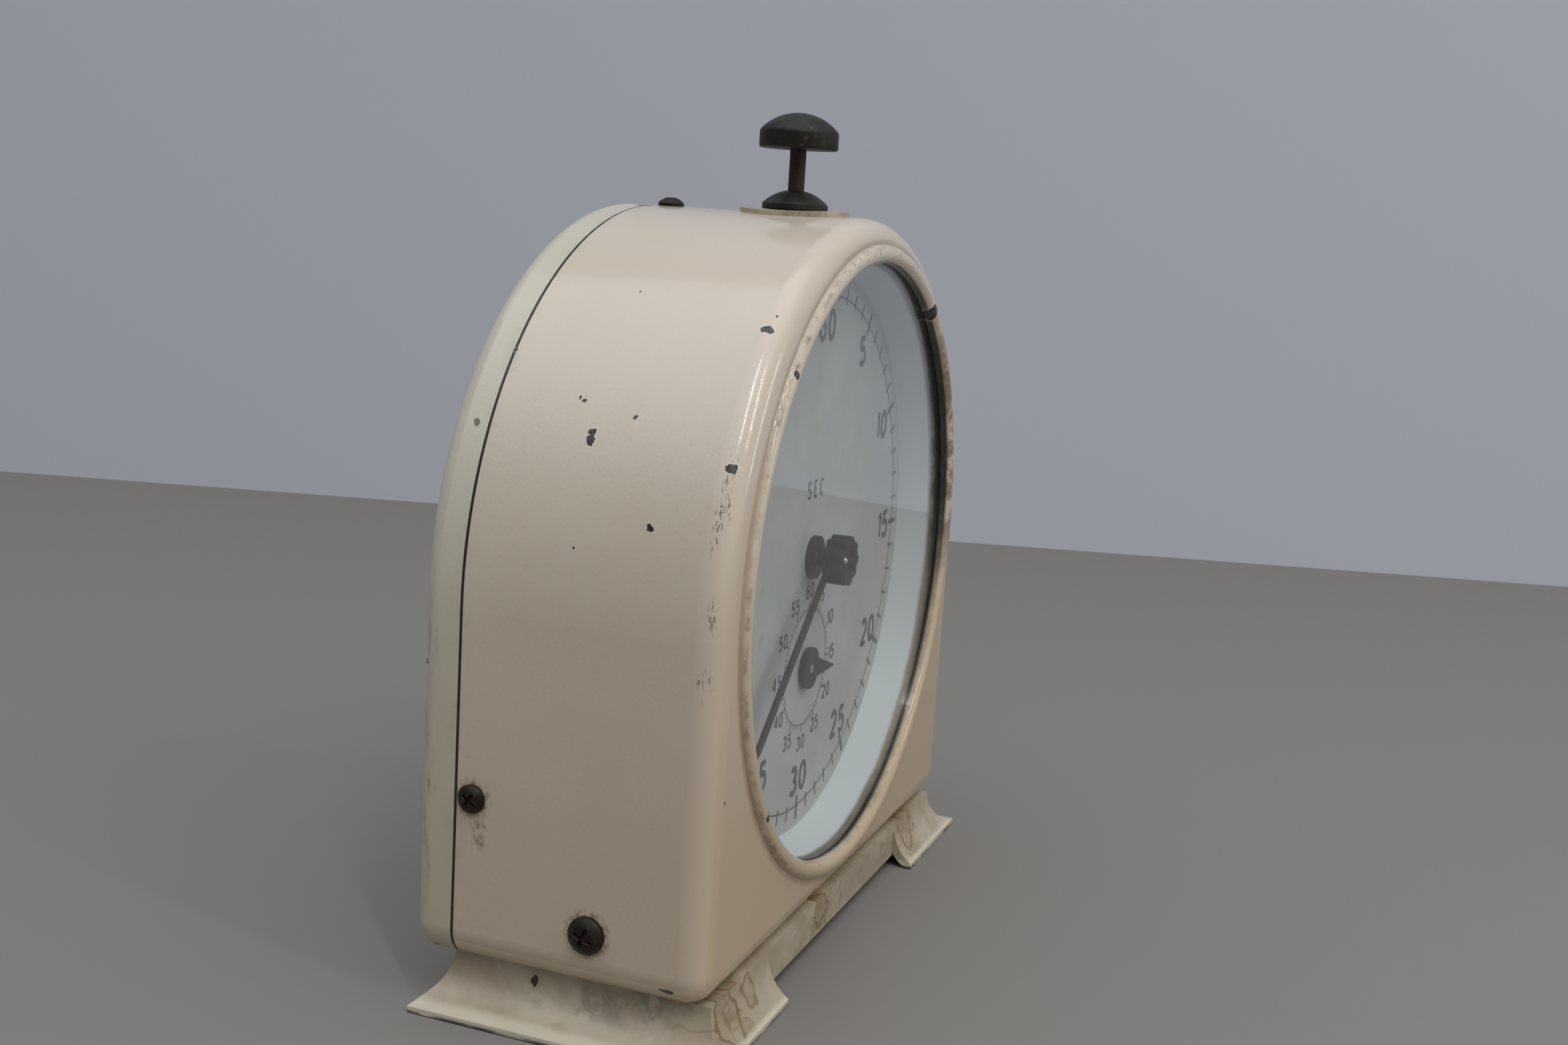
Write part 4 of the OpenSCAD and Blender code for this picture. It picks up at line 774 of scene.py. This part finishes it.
# base and shaded tone, roughness, orange peel, width of the seam in metres, amount of specks, rubbing
enamels = {
    "case_enamel": ((0.635, 0.565, 0.48), (0.605, 0.535, 0.45), 0.15, 0.14, 0.0004, 0.03),
    "cover_enamel": ((0.585, 0.56, 0.48), (0.53, 0.505, 0.42), 0.34, 0.26, 0.00042, 0.52, 0.75),
}
materials = {name: makeEnamel(name, *values) for name, values in enamels.items()}
materials["base_enamel"] = makeBasePaint("base_enamel")
materials["window_glass"] = makeGlass("window_glass")
materials["spacer_white"] = makeSpacer("spacer_white")
materials.update({name: makeWorn(name, **values) for name, values in wornFinishes.items()})
materials.update({name: makeMetal(name, *values) for name, values in metalFinishes.items()})

# the CAD nodes that each material dresses; arbors, studs, nuts, posts, levers and inner screws are steel
dressed = {
    "case_enamel": "front_case",
    "cover_enamel": "back_cover",
    "base_enamel": "base_plate plunger_washer",
    "window_glass": "glass",
    "gasket_rubber": "glass_gasket",
    "spacer_white": "spacer_ring",
    "dial_white": "dial_plate",
    "hand_black": "seconds_hand hand_nut minute_hand centre_bush",
    "plunger_black": "plunger_cap plunger_ferrule",
    "stem_steel": "plunger_stem",
    "screw_steel": "base_screws cover_screws",
    "key_steel": "winding_key",
    "plate_brass": "front_plate back_plate pillars dial_feet barrel barrel_lid",
    "wheel_brass": "seconds_wheel seconds_heart third_wheel counter_wheel minute_wheel minute_heart "
        "escape_wheel balance_wheel",
    "spring_steel": "plunger_spring mainspring click_spring hairspring jumper_spring",
}


def dressNodes():
    finishOf = {node: name for name, group in dressed.items() for node in group.split()}
    for node, piece in nodes.items():
        for slot in piece.material_slots:
            slot.material = materials[finishOf.get(node, "arbor_steel")]


dressNodes()
print("materials made and given to the nodes")


# mesh helpers
def quadsOf(nu, nv, loopU, loopV, start=0):
    # quads between neighbours of an nu by nv grid, wrapped round where a direction is a loop
    i = np.arange(nu if loopU else nu - 1)[:, None]
    j = np.arange(nv if loopV else nv - 1)[None, :]
    nextI, nextJ = (i + 1) % nu, (j + 1) % nv
    corners = np.broadcast_arrays(i * nv + j, nextI * nv + j, nextI * nv + nextJ, i * nv + nextJ)
    return np.stack(corners, -1).reshape(-1, 4) + start


def addPiece(name, grids, body, slot, replaces=(), finish=None, sharp=40):
    # grids: (points, loopU, loopV) surfaces that are put into one mesh; the finish is the slot's if not given
    verts, faces, start = [], [], 0
    for points, loopU, loopV in grids:
        nu, nv = points.shape[:2]
        verts.append(points.reshape(-1, 3))
        faces.append(quadsOf(nu, nv, loopU, loopV, start))
        start += nu * nv
    mesh = bpy.data.meshes.new(name)
    mesh.from_pydata(np.concatenate(verts).tolist(), [], np.concatenate(faces).tolist())
    work = bmesh.new()
    work.from_mesh(mesh)
    bmesh.ops.remove_doubles(work, verts=work.verts, dist=2e-7)
    bmesh.ops.dissolve_degenerate(work, edges=work.edges, dist=1e-8)
    bmesh.ops.recalc_face_normals(work, faces=work.faces)
    work.to_mesh(mesh)
    work.free()
    mesh.polygons.foreach_set("use_smooth", np.ones(len(mesh.polygons), bool))
    mesh.set_sharp_from_angle(angle=np.radians(sharp))
    mesh.materials.append(materials[finish or slot])
    piece = bpy.data.objects.new(name, mesh)
    bpy.context.scene.collection.objects.link(piece)
    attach(piece, body)
    if replaces:
        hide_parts(*replaces)
    return piece


def boxOf(node):
    # the two corners of a node's box, in mm in the frame
    return (np.array(corner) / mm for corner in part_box(node))


def rounded(points, cuts, steps=6):
    # each corner becomes a curve that bends from one leg to the next: a(1-t)(1-t) + 2 corner t(1-t) + b t t
    points = np.array(points, float)
    path = [points[:1]]
    t = np.linspace(0, 1, steps)[:, None]
    for corner, before, after, cut in zip(points[1:-1], points[:-2], points[2:], cuts):
        a = corner + (before - corner) * min(cut / np.hypot(*(before - corner)), 0.5)
        b = corner + (after - corner) * min(cut / np.hypot(*(after - corner)), 0.5)
        path.append(a * (1 - t) ** 2 + 2 * corner * t * (1 - t) + b * t ** 2)
    return np.concatenate(path + [points[-1:]])


def domeCurve(radius, foot, top, steps=28):
    # part of a circle from the dome's rim to its top: r = ball sin a, z = top - ball (1 - cos a)
    rise = top - foot
    ball = (radius ** 2 + rise ** 2) / (2 * rise)
    a = np.linspace(np.arcsin(radius / ball), 0.0, steps)
    return np.stack([ball * np.sin(a), top - ball * (1 - np.cos(a))], -1)


def fullTurn(sides):
    return np.linspace(0, 2 * np.pi, sides, endpoint=False)


# the plunger's cap with softened edges, in mm; its size comes from the node's box
cap = {
    "rim": 3.2,
    "round": 0.55,
    "bore": 1.5,
    "boreDeep": 3.0,
    "sides": 144,
}


def makeCap():
    # the profile's points (r, z) turned about the cap's upright axis: r cos t, r sin t, z
    low, high = boxOf("plunger_cap")
    middle = (low + high) / 2
    radius = (high[0] - low[0]) / 2
    rim, bore, deep = cap["rim"], cap["bore"], cap["boreDeep"]
    dome = domeCurve(radius, rim, high[2] - low[2])
    corners = [(0, deep), (bore, deep), (bore, 0), (radius, 0), (radius, rim), dome[3]]
    profile = np.concatenate([rounded(corners, [0.1, 0.1, cap["round"], cap["round"]]), dome[4:]])
    t = fullTurn(cap["sides"])
    r, z = profile[:, :1], profile[:, 1:]
    points = np.stack(np.broadcast_arrays(r * np.cos(t), r * np.sin(t), z), -1)
    points = (points + np.array([middle[0], middle[1], low[2]])) * mm
    addPiece("cap_skin", [(points, False, True)], "plunger", "plunger_black", ["plunger_cap"])


# pan-head screws: shares of the head's radius, the recess's depth in mm, and a row for each screw: its side
# of the case (0 is the top), depth behind the bead, height from the dial centre, radius and shank, all in mm,
# and its turn in degrees
screws = {
    "rimShare": 0.22,
    "highShare": 0.68,
    "shankShare": 0.46,
    "armWide": 0.17,
    "armLong": 0.5,
    "armSoft": 0.05,
    "recessDeep": 0.62,
    "base": [(-1, 21.9, -52.9, 3.2, 6.0, 20), (1, 21.9, -52.9, 3.2, 6.0, 65)],
    "cover": [(-1, 43.8, -33.9, 2.45, 3.6, 35), (1, 43.8, -33.9, 2.45, 3.6, 5),
        (0, 43.8, 63.3, 2.45, 3.6, 50)],
    "halfWide": 66.0,  # from the dial's axis to the case's side, mm
    "sides": 120,
}


def softStep(value, edge):
    # 1 while the value is inside the edge either way, and 0 outside it
    soft = screws["armSoft"]
    return np.clip((edge + soft - np.abs(value)) / (2 * soft), 0, 1)


def screwGrid(side, depth, up, radius, shank, turn):
    # a domed head less a soft-edged cross: height - deep * max of two arms, each a product of soft steps
    p = screws
    rim, high, neck = p["rimShare"] * radius, p["highShare"] * radius, p["shankShare"] * radius
    dome = domeCurve(radius, rim, high, 40)[::-1]
    corners = [dome[-2], (radius, rim), (radius, 0), (neck, 0), (neck, -shank), (0, -shank)]
    profile = np.concatenate([dome[:-2], rounded(corners, [0.3, 0.2, 0.05, 0.3], 4)])
    t = fullTurn(p["sides"])
    u, v = profile[:, :1] * np.cos(t), profile[:, :1] * np.sin(t)
    w = np.broadcast_to(profile[:, 1:], u.shape)
    a = np.radians(turn)
    x = (u * np.cos(a) + v * np.sin(a)) / radius
    y = (v * np.cos(a) - u * np.sin(a)) / radius
    wide, long = p["armWide"] / 2, p["armLong"]
    arms = np.maximum(softStep(x, wide) * softStep(y, long), softStep(y, wide) * softStep(x, long))
    arms = arms * arms * (3 - 2 * arms)
    w = np.where(w > rim, w - p["recessDeep"] * arms, w)
    if side:
        return fromDial(side * (p["halfWide"] + w), depth + u, up + v), False, True
    return fromDial(u, depth + v, up + w), False, True


def makeScrews():
    for name in ("base", "cover"):
        grids = [screwGrid(*row) for row in screws[name]]
        addPiece(name + "_screw_heads", grids, "case", "screw_steel", [name + "_screws"], sharp=35)


# the seconds hand with its lobed hub, and the knob in front of it, in mm; depths are behind the bead
hands = {
    "shownSeconds": 38.1,
    "hubFront": 7.1,
    "hubThick": 1.1,
    "hubRadius": 4.4,
    "lobes": 9,
    "lobeHigh": 0.32,
    "sleeveRadius": 1.7,
    "sleeveEnd": 10.2,
    "handRoot": 3.0,
    "handLong": 47.0,
    "handPoint": 4.0,  # length of the pointed end
    "handHalf": 1.48,
    "handTaper": 0.92,  # share of that width left where the point starts
    "handTipHalf": 0.2,
    "handThick": 0.5,
    "handBehind": 0.75,  # behind the hub's front
    "knobFront": 4.05,
    "knobRadius": 4.45,
    "dishRadius": 3.7,
    "dishDeep": 1.25,
    "tipRadius": 0.8,
    "tipHigh": 0.55,
}


def turnedOnDial(profile, lobes=0, lobeHigh=0.0, sides=128):
    # profile (r, depth) turned about the dial's axis; r becomes r (1 + high/R cos(lobes t)), R the largest r
    t = fullTurn(sides)
    r, d = profile[:, :1], profile[:, 1:]
    r = r * (1 + lobeHigh / profile[:, 0].max() * np.cos(lobes * t))
    return fromDial(r * np.cos(t), d, r * np.sin(t)), False, True


def handGrid():
    # rings round the hand's length: across = half sign(cos t) |cos t|^0.5, thick = thickness/2 sign(sin t)
    # |sin t|^0.6; the first and the last ring shrink to a point
    p = hands
    root, end = p["handRoot"], p["handLong"]
    shoulder = end - p["handPoint"]
    point = np.linspace(shoulder + 0.4, end - 0.15, 10)
    run = np.concatenate([[root], np.linspace(root, shoulder, 12), point, [end]])
    widths = [p["handHalf"], p["handHalf"] * p["handTaper"], p["handTipHalf"]]
    half = np.interp(run, [root, shoulder, end], widths)
    half[0] = half[-1] = 0.0
    t = fullTurn(16)
    across = half[:, None] * np.sign(np.cos(t)) * np.abs(np.cos(t)) ** 0.5
    thick = p["handThick"] / 2 * np.sign(np.sin(t)) * np.abs(np.sin(t)) ** 0.6
    thick = thick * np.where(half > 0, 1.0, 0.0)[:, None]
    a = np.radians(p["shownSeconds"] * 6)
    x = run[:, None] * np.sin(a) + across * np.cos(a)
    z = run[:, None] * np.cos(a) - across * np.sin(a)
    return fromDial(x, p["hubFront"] + p["handBehind"] + thick, z), False, True


def makeHands():
    p = hands
    front, back = p["hubFront"], p["hubFront"] + p["hubThick"]
    hub = rounded([(0, front), (p["hubRadius"], front), (p["hubRadius"], back), (0, back)], [0.25, 0.25])
    inner, sleeveTop, sleeveEnd = p["sleeveRadius"], back - 0.1, p["sleeveEnd"]
    sleeve = np.array([(0, sleeveTop), (inner, sleeveTop), (inner, sleeveEnd), (0, sleeveEnd)], float)
    grids = [turnedOnDial(hub, p["lobes"], p["lobeHigh"]), turnedOnDial(sleeve), handGrid()]
    addPiece("seconds_hand_skin", grids, "seconds", "hand_black", ["seconds_hand"])
    # a dished knob with the arbor's bright end in its middle
    rim, wide, dish, floor = p["knobFront"], p["knobRadius"], p["dishRadius"], p["knobFront"] + p["dishDeep"]
    foot = front - 0.02
    corners = [(0, floor), (dish - 0.5, floor), (dish, rim), (wide, rim), (wide, foot), (0, foot)]
    knob = turnedOnDial(rounded(corners, [0.5, 0.3, 0.35, 0.25]), p["lobes"], p["lobeHigh"])
    addPiece("knob_skin", [knob], "seconds", "hand_black", ["hand_nut"])
    ball = domeCurve(p["tipRadius"], 0.0, p["tipHigh"])[::-1]
    tip = [(r, floor - 0.1 - z) for r, z in ball] + [(p["tipRadius"], floor + 0.2), (0, floor + 0.2)]
    addPiece("arbor_tip", [turnedOnDial(np.array(tip), sides=48)], "seconds", "arbor_steel")


# the plunger's return spring, in mm
returnSpring = {
    "wire": 0.55,
    "turns": 6,
    "stepsPerTurn": 40,
    "travel": 4.0,
}


def makeReturnSpring():
    # a ring of wire carried along a helix: (R + w cos b) cos a, (R + w cos b) sin a, rise a + w sin b
    low, high = boxOf("plunger_spring")
    middle, length = (low + high) / 2, high[2] - low[2]
    turns, w = returnSpring["turns"], returnSpring["wire"] / 2
    coil = (high[0] - low[0]) / 2 - w
    share = np.linspace(0, 1, returnSpring["stepsPerTurn"] * turns + 1)[:, None]
    share = np.concatenate([share[:1], share, share[-1:]])
    wire = np.full(share.shape, w)
    wire[0] = wire[-1] = 0  # the ends close to a point
    a, b = 2 * np.pi * turns * share, fullTurn(14)
    r = coil + wire * np.cos(b)
    z = low[2] + w + (length - 2 * w) * share + wire * np.sin(b)
    points = np.stack([r * np.cos(a) + middle[0], r * np.sin(a) + middle[1], z], -1) * mm
    piece = addPiece("return_spring", [(points, False, True)], "case", "spring_steel", ["plunger_spring"])
    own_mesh(piece)


makeCap()
makeScrews()
makeHands()
makeReturnSpring()
print("plunger cap, screws, hands and return spring made")

# print on the dial, in mm from its centre
dialPrint = {
    "face": 11.7,  # depth of the dial's face
    "proud": 0.02,
    "sunk": 0.01,
    "numberRadius": 43.5,
    "numberHigh": 6.2,
    "numberPen": 1.22,
    "track": (49.0, 0.35),  # radius and pen
    "secondMark": (48.0, 51.2, 0.62),  # inner end, outer end and pen
    "fiveMark": (46.9, 51.9, 1.05),
    "smallDown": 21.5,
    "smallRadius": 14.9,
    "smallHigh": 3.1,
    "smallPen": 0.58,
    "smallTrack": (11.2, 0.2),
    "smallMark": (11.2, 12.1, 0.24),
    "smallFiveMark": (11.2, 12.9, 0.4),
    "unitAt": (-0.6, 13.1),
    "unitHigh": 3.5,
    "unitPen": 0.55,
    "unitGap": 0.95,
}


def arc(cx, cy, rx, ry, a0, a1, n=18):
    a = np.radians(np.linspace(a0, a1, n))
    return np.stack([cx + rx * np.cos(a), cy + ry * np.sin(a)], -1)


def line(*points):
    # straight stretches through the points, with six steps each
    points = np.array(points, float)
    runs = [np.linspace(a, b, 7)[:-1] for a, b in zip(points[:-1], points[1:])]
    return np.concatenate(runs + [points[-1:]])


def joined(first, second):
    # a curve that ends where the next one starts
    return np.concatenate([first, second[1:]])


# pen strokes of the figures in a box 0.62 wide and 1 high, centred on the origin
figures = {
    "0": [arc(0, 0, 0.3, 0.5, 90, 450, 33)],
    "1": [line((-0.14, 0.32), (0.06, 0.5), (0.06, -0.5))],
    "2": [joined(arc(0, 0.21, 0.28, 0.29, 165, -32), line((0.22, 0.03), (-0.28, -0.5), (0.3, -0.5)))],
    "3": [joined(arc(-0.02, 0.26, 0.25, 0.24, 155, -90), arc(-0.02, -0.235, 0.29, 0.265, 90, -155))],
    "4": [line((0.14, -0.5), (0.14, 0.5), (-0.3, -0.2), (0.3, -0.2))],
    "5": [joined(line((0.24, 0.5), (-0.2, 0.5), (-0.24, 0.06)), arc(-0.02, -0.19, 0.29, 0.31, 125, -150))],
    "6": [joined(arc(0.28, -0.16, 0.56, 0.68, 103, 180, 14), arc(0.0, -0.2, 0.28, 0.3, 180, 540, 27))],
    "S": [joined(arc(0, 0.25, 0.25, 0.25, 35, 270), arc(0, -0.25, 0.27, 0.25, 90, -145))],
    "E": [line((0.24, 0.5), (-0.22, 0.5), (-0.22, -0.5), (0.24, -0.5)), line((-0.22, 0.02), (0.16, 0.02))],
    "C": [arc(0.05, 0, 0.33, 0.5, 48, 312, 24)],
}


def inkStroke(path, pen):
    # a flat pen line with round ends: offset to both sides of the path by half the pen, less near the ends
    step = np.diff(path, axis=0)
    run = np.concatenate([[0], np.cumsum(np.hypot(*step.T))])
    closed = np.hypot(*(path[0] - path[-1])) < 1e-6
    if not closed:
        extra = pen / 2 * (1 - np.cos(np.linspace(0, np.pi / 2, 5)))
        at = np.unique(np.concatenate([run, extra, run[-1] - extra]))
        path = np.stack([np.interp(at, run, path[:, 0]), np.interp(at, run, path[:, 1])], -1)
        run = at
    way = np.gradient(path, axis=0)
    if closed:
        way[0] = way[-1] = path[1] - path[-2]
    way /= np.maximum(np.hypot(*way.T), 1e-9)[:, None]
    half = np.full(len(path), pen / 2)
    if not closed:
        near = np.minimum(run, run[-1] - run)
        half = np.where(near < pen / 2, np.sqrt(np.maximum((pen / 2) ** 2 - (pen / 2 - near) ** 2, 0)), half)
    side = np.stack([-way[:, 1], way[:, 0]], -1) * half[:, None]
    left, right = path + side, path - side
    back, top = dialPrint["face"] + dialPrint["sunk"], dialPrint["face"] - dialPrint["proud"]
    ring = ((left, back), (left, top), (right, top), (right, back))
    points = np.stack([fromDial(edge[:, 0], d, edge[:, 1]) for edge, d in ring], 1)
    if closed:
        return points[:-1], True, True
    return points, False, True


def writeFigures(text, at, high, pen, gap=0.78):
    # the gap between middles is a share of the height; the narrow 1 takes less of it
    grids = []
    x = at[0] - (len(text) - 1) * gap * high / 2
    for letter in text:
        for stroke in figures[letter]:
            grids.append(inkStroke(stroke * (high - pen) + np.array([x, at[1]]), pen))
        x += gap * high * (0.72 if letter == "1" else 1.0)
    return grids


def clockWay(degrees):
    return np.array([np.sin(np.radians(degrees)), np.cos(np.radians(degrees))])


def trackGrids(centre, track, oneMark, fiveMark, steps):
    # a ring and sixty radial marks, each fifth one longer and thicker
    radius, pen = track
    grids = [inkStroke(arc(centre[0], centre[1], radius, radius, 90, 450, steps), pen)]
    for k in range(60):
        low, high, pen = oneMark if k % 5 else fiveMark
        way = clockWay(6 * k)
        grids.append(inkStroke(line(centre + way * low, centre + way * high), pen))
    return grids


def makeDialPrint():
    p = dialPrint
    smallCentre = np.array([0, -p["smallDown"]])
    grids = []
    for k in range(12):
        way = clockWay(30 * k)
        text = str(5 * k) if k else "60"
        grids += writeFigures(text, way * p["numberRadius"], p["numberHigh"], p["numberPen"])
        grids += writeFigures(text, smallCentre + way * p["smallRadius"], p["smallHigh"], p["smallPen"])
    addPiece("dial_figures", grids, "case", "dial_white", finish="dial_ink")
    grids = trackGrids(np.zeros(2), p["track"], p["secondMark"], p["fiveMark"], 241)
    grids += trackGrids(smallCentre, p["smallTrack"], p["smallMark"], p["smallFiveMark"], 121)
    addPiece("dial_tracks", grids, "case", "dial_white", finish="dial_ink")
    grids = writeFigures("SEC", p["unitAt"], p["unitHigh"], p["unitPen"], p["unitGap"])
    addPiece("dial_unit_mark", grids, "case", "dial_white", finish="dial_ink")


makeDialPrint()
print("dial print made")
